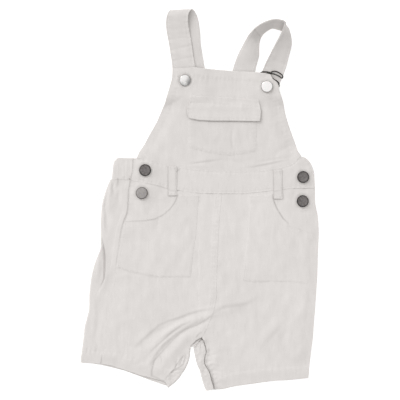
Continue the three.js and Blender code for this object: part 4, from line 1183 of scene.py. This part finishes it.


# Shoulder straps: ribbons through sections given by their two edges.
# A crease is (place along, slant, height, width);
# the bow is (place along, width, height) of an arched middle;
# a painted shadow is (section's number, width, darkness), shade painted into the cloth's colour.

straps = {
    "strap_left": {
        "flat": (0.028, 0.3), "count": 260, "bow": (0, 1, 0),
        "shadows": [(9.4, 3, 0.1), (11.5, 50, 0.03)],
        "creases": [
            (39, 5, -0.28, 1.6), (45, -4, 0.22, 2.4), (53, 6, -0.32, 1.5), (58, -3, 0.2, 2.6),
            (65, 3, -0.25, 1.3), (73, 5, 0.2, 2.5), (86, -6, -0.2, 3), (112, 4, -0.3, 2), (120, -3, 0.3, 3),
            (140, 2, -0.25, 2.5),
        ],
        "sections": [
            ((-31, 375, 3.75), (-3.5, 376, 3.75)), ((-32.5, 391, 3.75), (-4.5, 393, 3.75)),
            ((-33, 406, 3.6), (-5.5, 406, 3.3)), ((-35, 420, 3.5), (-7.5, 420, 3.2)),
            ((-37.5, 436, 3.5), (-9.8, 436, 3.3)), ((-40, 449, 4.1), (-12.3, 449, 4.2)),
            ((-40.7, 461, 5.4), (-14, 461, 6.8)), ((-39, 470, 6.4), (-12.7, 472, 8.2)),
            ((-36, 474.6, 5.0), (-8.3, 476, 6.0)), ((-32, 471.5, 2.2), (-4.3, 471.5, 2.6)),
            ((-28.5, 464, 1.3), (-1.5, 464, 1.4)), ((-26, 449, 1.25), (0.8, 449, 1.25)),
            ((-24.5, 432, 1.25), (2, 432, 1.25)), ((-21.5, 414, 1.25), (5, 413.5, 1.25)),
            ((-19.5, 400, 1.25), (7, 400, 1.25)), ((-15, 364, 1.25), (12, 364, 1.25)),
            ((-9.5, 326, 1.25), (17.5, 325, 1.25)), ((-5, 289.5, 1.25), (22, 288.6, 1.25)),
        ],
    },
    "strap_right": {
        "flat": (0.027, 0.31), "count": 330, "bow": (150, 18, 2.4),
        "shadows": [(12, 17, 0.1), (10.2, 3.5, 0.3), (14.9, 1.0, 0.16), (9, 1.2, 0.2), (17.6, 22, 0.05)],
        "creases": [
            (20, 5, 0.3, 2.5), (38, -6, -0.35, 3), (60, 5, 0.3, 4), (96, 4, -0.3, 3), (128, -5, -0.5, 2.2),
            (136, 4, 0.35, 3), (160, -3, -0.3, 3),
        ],
        "sections": [
            ((72, 380, 1.25), (96, 372.5, 1.25)), ((75.5, 391, 1.25), (99.7, 383, 1.25)),
            ((80, 402, 1.5), (104.5, 394.5, 1.25)), ((83, 409, 3.6), (108.5, 405.5, 1.25)),
            ((87, 417, 6.4), (111.2, 416, 1.25)), ((95, 432.5, 10.4), (114.8, 431, 1.25)),
            ((99.5, 440.5, 14.0), (114.6, 441, 1.25)), ((103, 447.5, 18.6), (112.9, 448, 1.25)),
            ((105.2, 453, 24.6), (111, 453, 1.25)), ((106.6, 457.8, 26.6), (108, 455.8, 1.25)),
            ((104.8, 460, 26.2), (103.8, 450.6, 1.25)), ((99.8, 461.9, 25), (98.4, 451.8, 1.25)),
            ((93.2, 462.3, 24.4), (91, 453, 1.25)), ((85.4, 460.4, 24.3), (85.3, 450.3, 1.25)),
            ((76.5, 456.6, 23.4), (80, 446, 1.25)), ((67.5, 450, 20.5), (76.7, 441, 1.4)),
            ((61, 442.5, 9.5), (75, 434.5, 2.2)), ((54.5, 431, 3.2), (74.6, 427, 2.4)),
            ((50, 422.5, 1.6), (74.5, 419, 1.8)), ((46, 412.5, 1.25), (72.3, 410, 1.25)),
            ((42, 399.5, 1.25), (69, 398, 1.25)), ((39, 376, 1.25), (66, 375, 1.25)),
            ((34.5, 332.5, 1.25), (61, 331.5, 1.25)), ((31, 288, 1.25), (57.5, 287.2, 1.25)),
        ],
    },
}
strapLook = {"wall": 1.9, "wide": 27, "stitch": 2.2, "dent": 0.3, "rim": 0.5}


def smoothPath(points, count):
    # A cubic through the points, spaced by the square root of the distances between them
    p = np.asarray(points, float)
    knots = np.concatenate([[0], np.cumsum(np.sqrt(np.linalg.norm(np.diff(p, axis=0), axis=1)))])
    slope = np.gradient(p, knots, axis=0)
    t = np.linspace(0, len(p) - 1, count)
    i = np.clip(t.astype(int), 0, len(p) - 2)
    f, gap = (t - i)[:, None], (knots[i + 1] - knots[i])[:, None]
    h = (2 * f**3 - 3 * f**2 + 1, f**3 - 2 * f**2 + f, -2 * f**3 + 3 * f**2, f**3 - f**2)
    return h[0] * p[i] + h[1] * gap * slope[i] + h[2] * p[i + 1] + h[3] * gap * slope[i + 1]


def makeStrap(name, strap):
    # The wall follows the ruled surface between two smooth edges, moved along its normal by the relief
    left, right = [smoothPath([s[side] for s in strap["sections"]], strap["count"]) for side in (0, 1)]
    u = gridSteps(22, strapLook["wide"])
    middle = blend(left[:, None], right[:, None], u[:, None])
    normal = unit(np.cross((right - left)[:, None], np.gradient(middle, axis=0)))
    run = runAlong((left + right) / 2)
    fromEdge = np.minimum(u, 1 - u) * np.linalg.norm(right - left, axis=1)[:, None]
    along = np.broadcast_to(run[:, None], fromEdge.shape)
    ripple = np.sin(2 * np.pi * along / 6.5 + 1.5 * np.sin(along / 19))
    fromRow = fromEdge - strapLook["stitch"]
    relief = 0.12 * ripple * bell(fromRow, 3) - strapLook["dent"] * bell(fromRow, 0.9)
    for at, slant, height, wide in strap["creases"]:
        relief = relief + height * bell(along - at - slant * (u - 0.5), wide)
    bowAt, bowWide, bowHigh = strap["bow"]
    arched = bowHigh * bell(along - bowAt, bowWide) * 4 * u * (1 - u)
    middle = middle - normal * arched[..., None]
    # Painted shadows: the strap's colour is darkened along its length, on both faces
    shade = np.zeros(fromEdge.shape)
    for section, wide, depth in strap["shadows"]:
        at = np.interp(section, np.linspace(0, len(strap["sections"]) - 1, strap["count"]), run)
        shade = np.maximum(shade, depth * bell(along - at, wide))
    half = strapLook["wall"] / 2
    outer = middle + normal * (half + relief)[..., None]
    inner = middle - normal * (half - 0.4 * relief)[..., None]
    uv = np.stack([np.broadcast_to(u * strapLook["wide"], fromEdge.shape), along], -1)
    piece = wallMesh(name + "_cloth", outer, inner, uv, shade, bulge=strapLook["rim"], shadeInside=True)
    finishPiece(piece, name, linenStrap)
    rowShare = strapLook["stitch"] / strapLook["wide"]
    for share in (rowShare, 1 - rowShare):
        k = np.argmin(np.abs(u - share))
        for face, up in ((outer, normal), (inner, -normal)):
            addStitches("straps", face[2:-2, k], up=up[2:-2, k])


for name, strap in straps.items():
    makeStrap(name, strap)
print("stage: straps")


# Wire adjuster

adjusterWires = {
    "height": 3.5, "radius": 0.66, "sides": 12, "steps": 16,
    "bar": [(76.5, 397.2), (79, 398.5), (85, 398.4), (88.6, 397.2), (88, 395.7), (82.5, 395.5)],
    "keeper": [
        (88.8, 396.6), (91, 398.8), (95, 399.2), (98.4, 398), (101.9, 395.9), (104.4, 393.1), (103.6, 390.6),
        (101.2, 392.2), (98.2, 393.9), (94.4, 395.6), (91.5, 396.4),
    ],
    "hook": [
        (88.4, 396), (89.9, 392.3), (92.8, 389.4), (96.6, 387.3), (99.2, 384.6), (99.5, 380), (94, 375),
        (82, 374.2), (76.6, 379), (75.6, 388), (78, 394.2), (84, 396.3),
    ],
}


def wireLoop(name, points):
    # A round section carried along a closed curve through the points
    steps = adjusterWires["steps"]
    closed = [(x, y, adjusterWires["height"]) for x, y in points[-2:] + points + points[:3]]
    path = smoothPath(closed, steps * (len(closed) - 1) + 1)[2 * steps:][:steps * len(points)]
    out = np.cross(unit(np.roll(path, -1, 0) - np.roll(path, 1, 0)), [0, 0, 1])
    turn = np.arange(adjusterWires["sides"])[:, None] * 2 * np.pi / adjusterWires["sides"]
    ring = out[:, None] * np.cos(turn) + np.array([0, 0, 1]) * np.sin(turn)
    placed = (path[:, None] + ring * adjusterWires["radius"]).reshape(-1, 3)
    index = np.arange(len(placed)).reshape(len(path), len(turn))
    faces = quadsOf(np.concatenate([index, index[:1]]), around=True)
    finishPiece(makeMesh(name, placed, faces[:, ::-1], placed[:, :2]), "adjuster", wireMetal)


for part in ("bar", "keeper", "hook"):
    wireLoop("adjuster_" + part, adjusterWires[part])
print("stage: adjuster")


# Tack buttons

buttonLook = {
    "radius": 7.4, "height": 3.2, "turns": 72,
    # radius and height shares of the turned profile, from the underside to the cap's rim
    "rim": [
        (0.0, 0.0), (0.5, 0.0), (0.84, 0.0), (0.95, 0.06), (1.0, 0.2), (1.0, 0.42), (0.985, 0.6),
        (0.95, 0.76),
    ],
    # the cap goes on inwards at these radius shares, from the height share capEdge
    "capRadii": (0.9, 0.85, 0.81, 0.785, 0.76, 0.73, 0.66, 0.5, 0.3, 0.12, 0.0),
    "capEdge": 0.86,
    # how far the middle of each cap rises or, on worn ones, sinks as a share of the height
    "dome": {
        "button_bib_left": 0.43, "button_bib_right": 0.14, "button_side_left_upper": -0.08,
        "button_side_left_lower": 0.1, "button_side_right_upper": -0.26, "button_side_right_lower": -0.26,
    },
    # each button's lean in degrees: about x, then about y
    "lean": {
        "button_bib_left": (11, 10), "button_bib_right": (-3, -3), "button_side_left_lower": (-3, -3),
        "button_side_left_upper": (-3, -1), "button_side_right_upper": (-4, 1),
        "button_side_right_lower": (-4, 1),
    },
}


def makeButton(name, material):
    # A profile turned round the middle, smoothed, then leaned as a whole
    low, high = [corner - frameShift for corner in nodeBox(name)]
    centre = (low + high) / 2
    radii = np.array(buttonLook["capRadii"])
    dome = buttonLook["capEdge"] + buttonLook["dome"][name] * (1 - (radii / radii[0]) ** 2)
    profile = np.concatenate([buttonLook["rim"], np.stack([radii, dome], -1)])
    fine = pickAt(np.linspace(0, len(profile) - 1, 3 * len(profile) - 2), np.arange(len(profile)), profile)
    soft = fine[:-2] / 4 + fine[1:-1] / 2 + fine[2:] / 4
    r, h = soft[:, :1] * buttonLook["radius"], low[2] + soft[:, 1:] * buttonLook["height"]
    turn = np.arange(buttonLook["turns"]) * 2 * np.pi / buttonLook["turns"]
    rings = np.stack([centre[0] + r * np.cos(turn), centre[1] + r * np.sin(turn), h + 0 * turn], -1)
    rows, sides = rings.shape[:2]
    points = np.concatenate([rings.reshape(-1, 3), [[*centre[:2], h[0, 0]], [*centre[:2], h[-1, 0]]]])
    aboutX, aboutY = np.tan(np.radians(buttonLook["lean"][name]))
    rise = points[:, 2] - low[2]
    points[:, 2] += (points[:, 1] - centre[1]) * aboutX - (points[:, 0] - centre[0]) * aboutY
    points[:, 0] += rise * aboutY
    points[:, 1] -= rise * aboutX
    index = np.arange(rows * sides).reshape(rows, sides)
    walls = quadsOf(index, around=True)
    first, last = [np.stack([ring, np.roll(ring, -1), np.full(sides, rows * sides + k)], -1)
                   for k, ring in enumerate((index[0], index[-1]))]
    faces = np.concatenate([walls[:, [0, 1, 2]], walls[:, [0, 2, 3]], first[:, [0, 2, 1]], last])
    share, around = [np.append(part, [0, 0]) * mmPerMetre
                     for part in (np.repeat(soft[:, 0], sides), np.tile(turn, rows))]
    cap = makeMesh(name + "_cap", points, faces, np.stack([share, around], -1))
    finishPiece(cap, name, material)


for name in buttonPlaces:
    if "bib" in name:
        makeButton(name, nickel)
    else:
        # the lower left side button takes the lighter pewter copy, painted light for its brighter reflection
        makeButton(name, paintedLightPewter if name == "button_side_left_lower" else pewter)
print("stage: buttons")

for area in stitchRows:
    finishPiece(makeStitches(area), None, linenThread)
print("stage: stitches")


# Floor, light and camera

studio = {
    "photoWide": 0.4986,         # metres of floor across the picture
    "centre": (1.25, 239.0),     # in the tables' millimetres
    "lens": 200.0, "sensor": 36.0,
    "skyLow": 0.28, "skyHigh": 1.08, "skyAxis": (-0.3, 0.36, 0.88),
    "paperSize": 3.2, "paperHeight": -0.0006, "paper": (0.93, 0.93, 0.93, 1), "paperGlow": 0.4,
    # each light's place round the garment, width and power
    "lights": {"keyLight": ((-1.5, 1.6, 1.9), 1.25, 15.0), "fillLight": ((0.5, -1.3, 1.3), 1.2, 1.3)},
}


def makeSky():
    # A white tent: bright overhead on the upper left and dimmer the other way
    world = bpy.data.worlds.new("studioWorld")
    world.use_nodes = True
    tree = world.node_tree
    place = addNode(tree, "TexCoord").outputs["Generated"]
    facing = addNode(tree, "VectorMath", {0: place, 1: studio["skyAxis"]}, operation="DOT_PRODUCT")
    levels = {"Value": facing.outputs["Value"], "From Min": 0.0, "From Max": 0.85,
              "To Min": studio["skyLow"], "To Max": studio["skyHigh"]}
    strength = addNode(tree, "MapRange", levels, interpolation_type="SMOOTHSTEP")
    setInputs(tree, tree.nodes["Background"], {0: (1, 1, 1, 1), 1: strength.outputs[0]})
    bpy.context.scene.world = world


def makeFloor():
    half = studio["paperSize"] / 2
    mesh = bpy.data.meshes.new("studioFloor")
    places = ((-half, -half), (half, -half), (half, half), (-half, half))
    corners = [(x, y, studio["paperHeight"]) for x, y in places]
    mesh.from_pydata(corners, [], [(0, 1, 2, 3)])
    material, tree, shader = newMaterial("studioPaper")
    setInputs(tree, shader, {"Base Color": studio["paper"], "Roughness": 1.0,
                             "Emission Color": (1, 1, 1, 1), "Emission Strength": studio["paperGlow"]})
    mesh.materials.append(material)
    addObject("studioFloor", mesh)


def makeStudio():
    scene = bpy.context.scene
    scene.view_settings.view_transform = "Standard"
    scene.view_settings.look = "None"
    makeSky()
    makeFloor()
    middle = (np.array([*studio["centre"], 0]) + frameShift) / mmPerMetre
    for name, (place, size, power) in studio["lights"].items():
        data = bpy.data.lights.new(name, "AREA")
        data.shape, data.size, data.energy = "DISK", size, power
        light = addObject(name, data)
        light.location = np.array(place) + middle
        light.rotation_mode = "QUATERNION"
        light.rotation_quaternion = (-Vector(place)).to_track_quat("-Z", "Y")
    data = bpy.data.cameras.new("photoCamera")
    data.lens, data.sensor_width = studio["lens"], studio["sensor"]
    scene.camera = addObject("photoCamera", data)
    scene.camera.location = (*middle[:2], studio["photoWide"] * studio["lens"] / studio["sensor"])


makeStudio()
print("stage: studio")

bpy.context.view_layer.update()
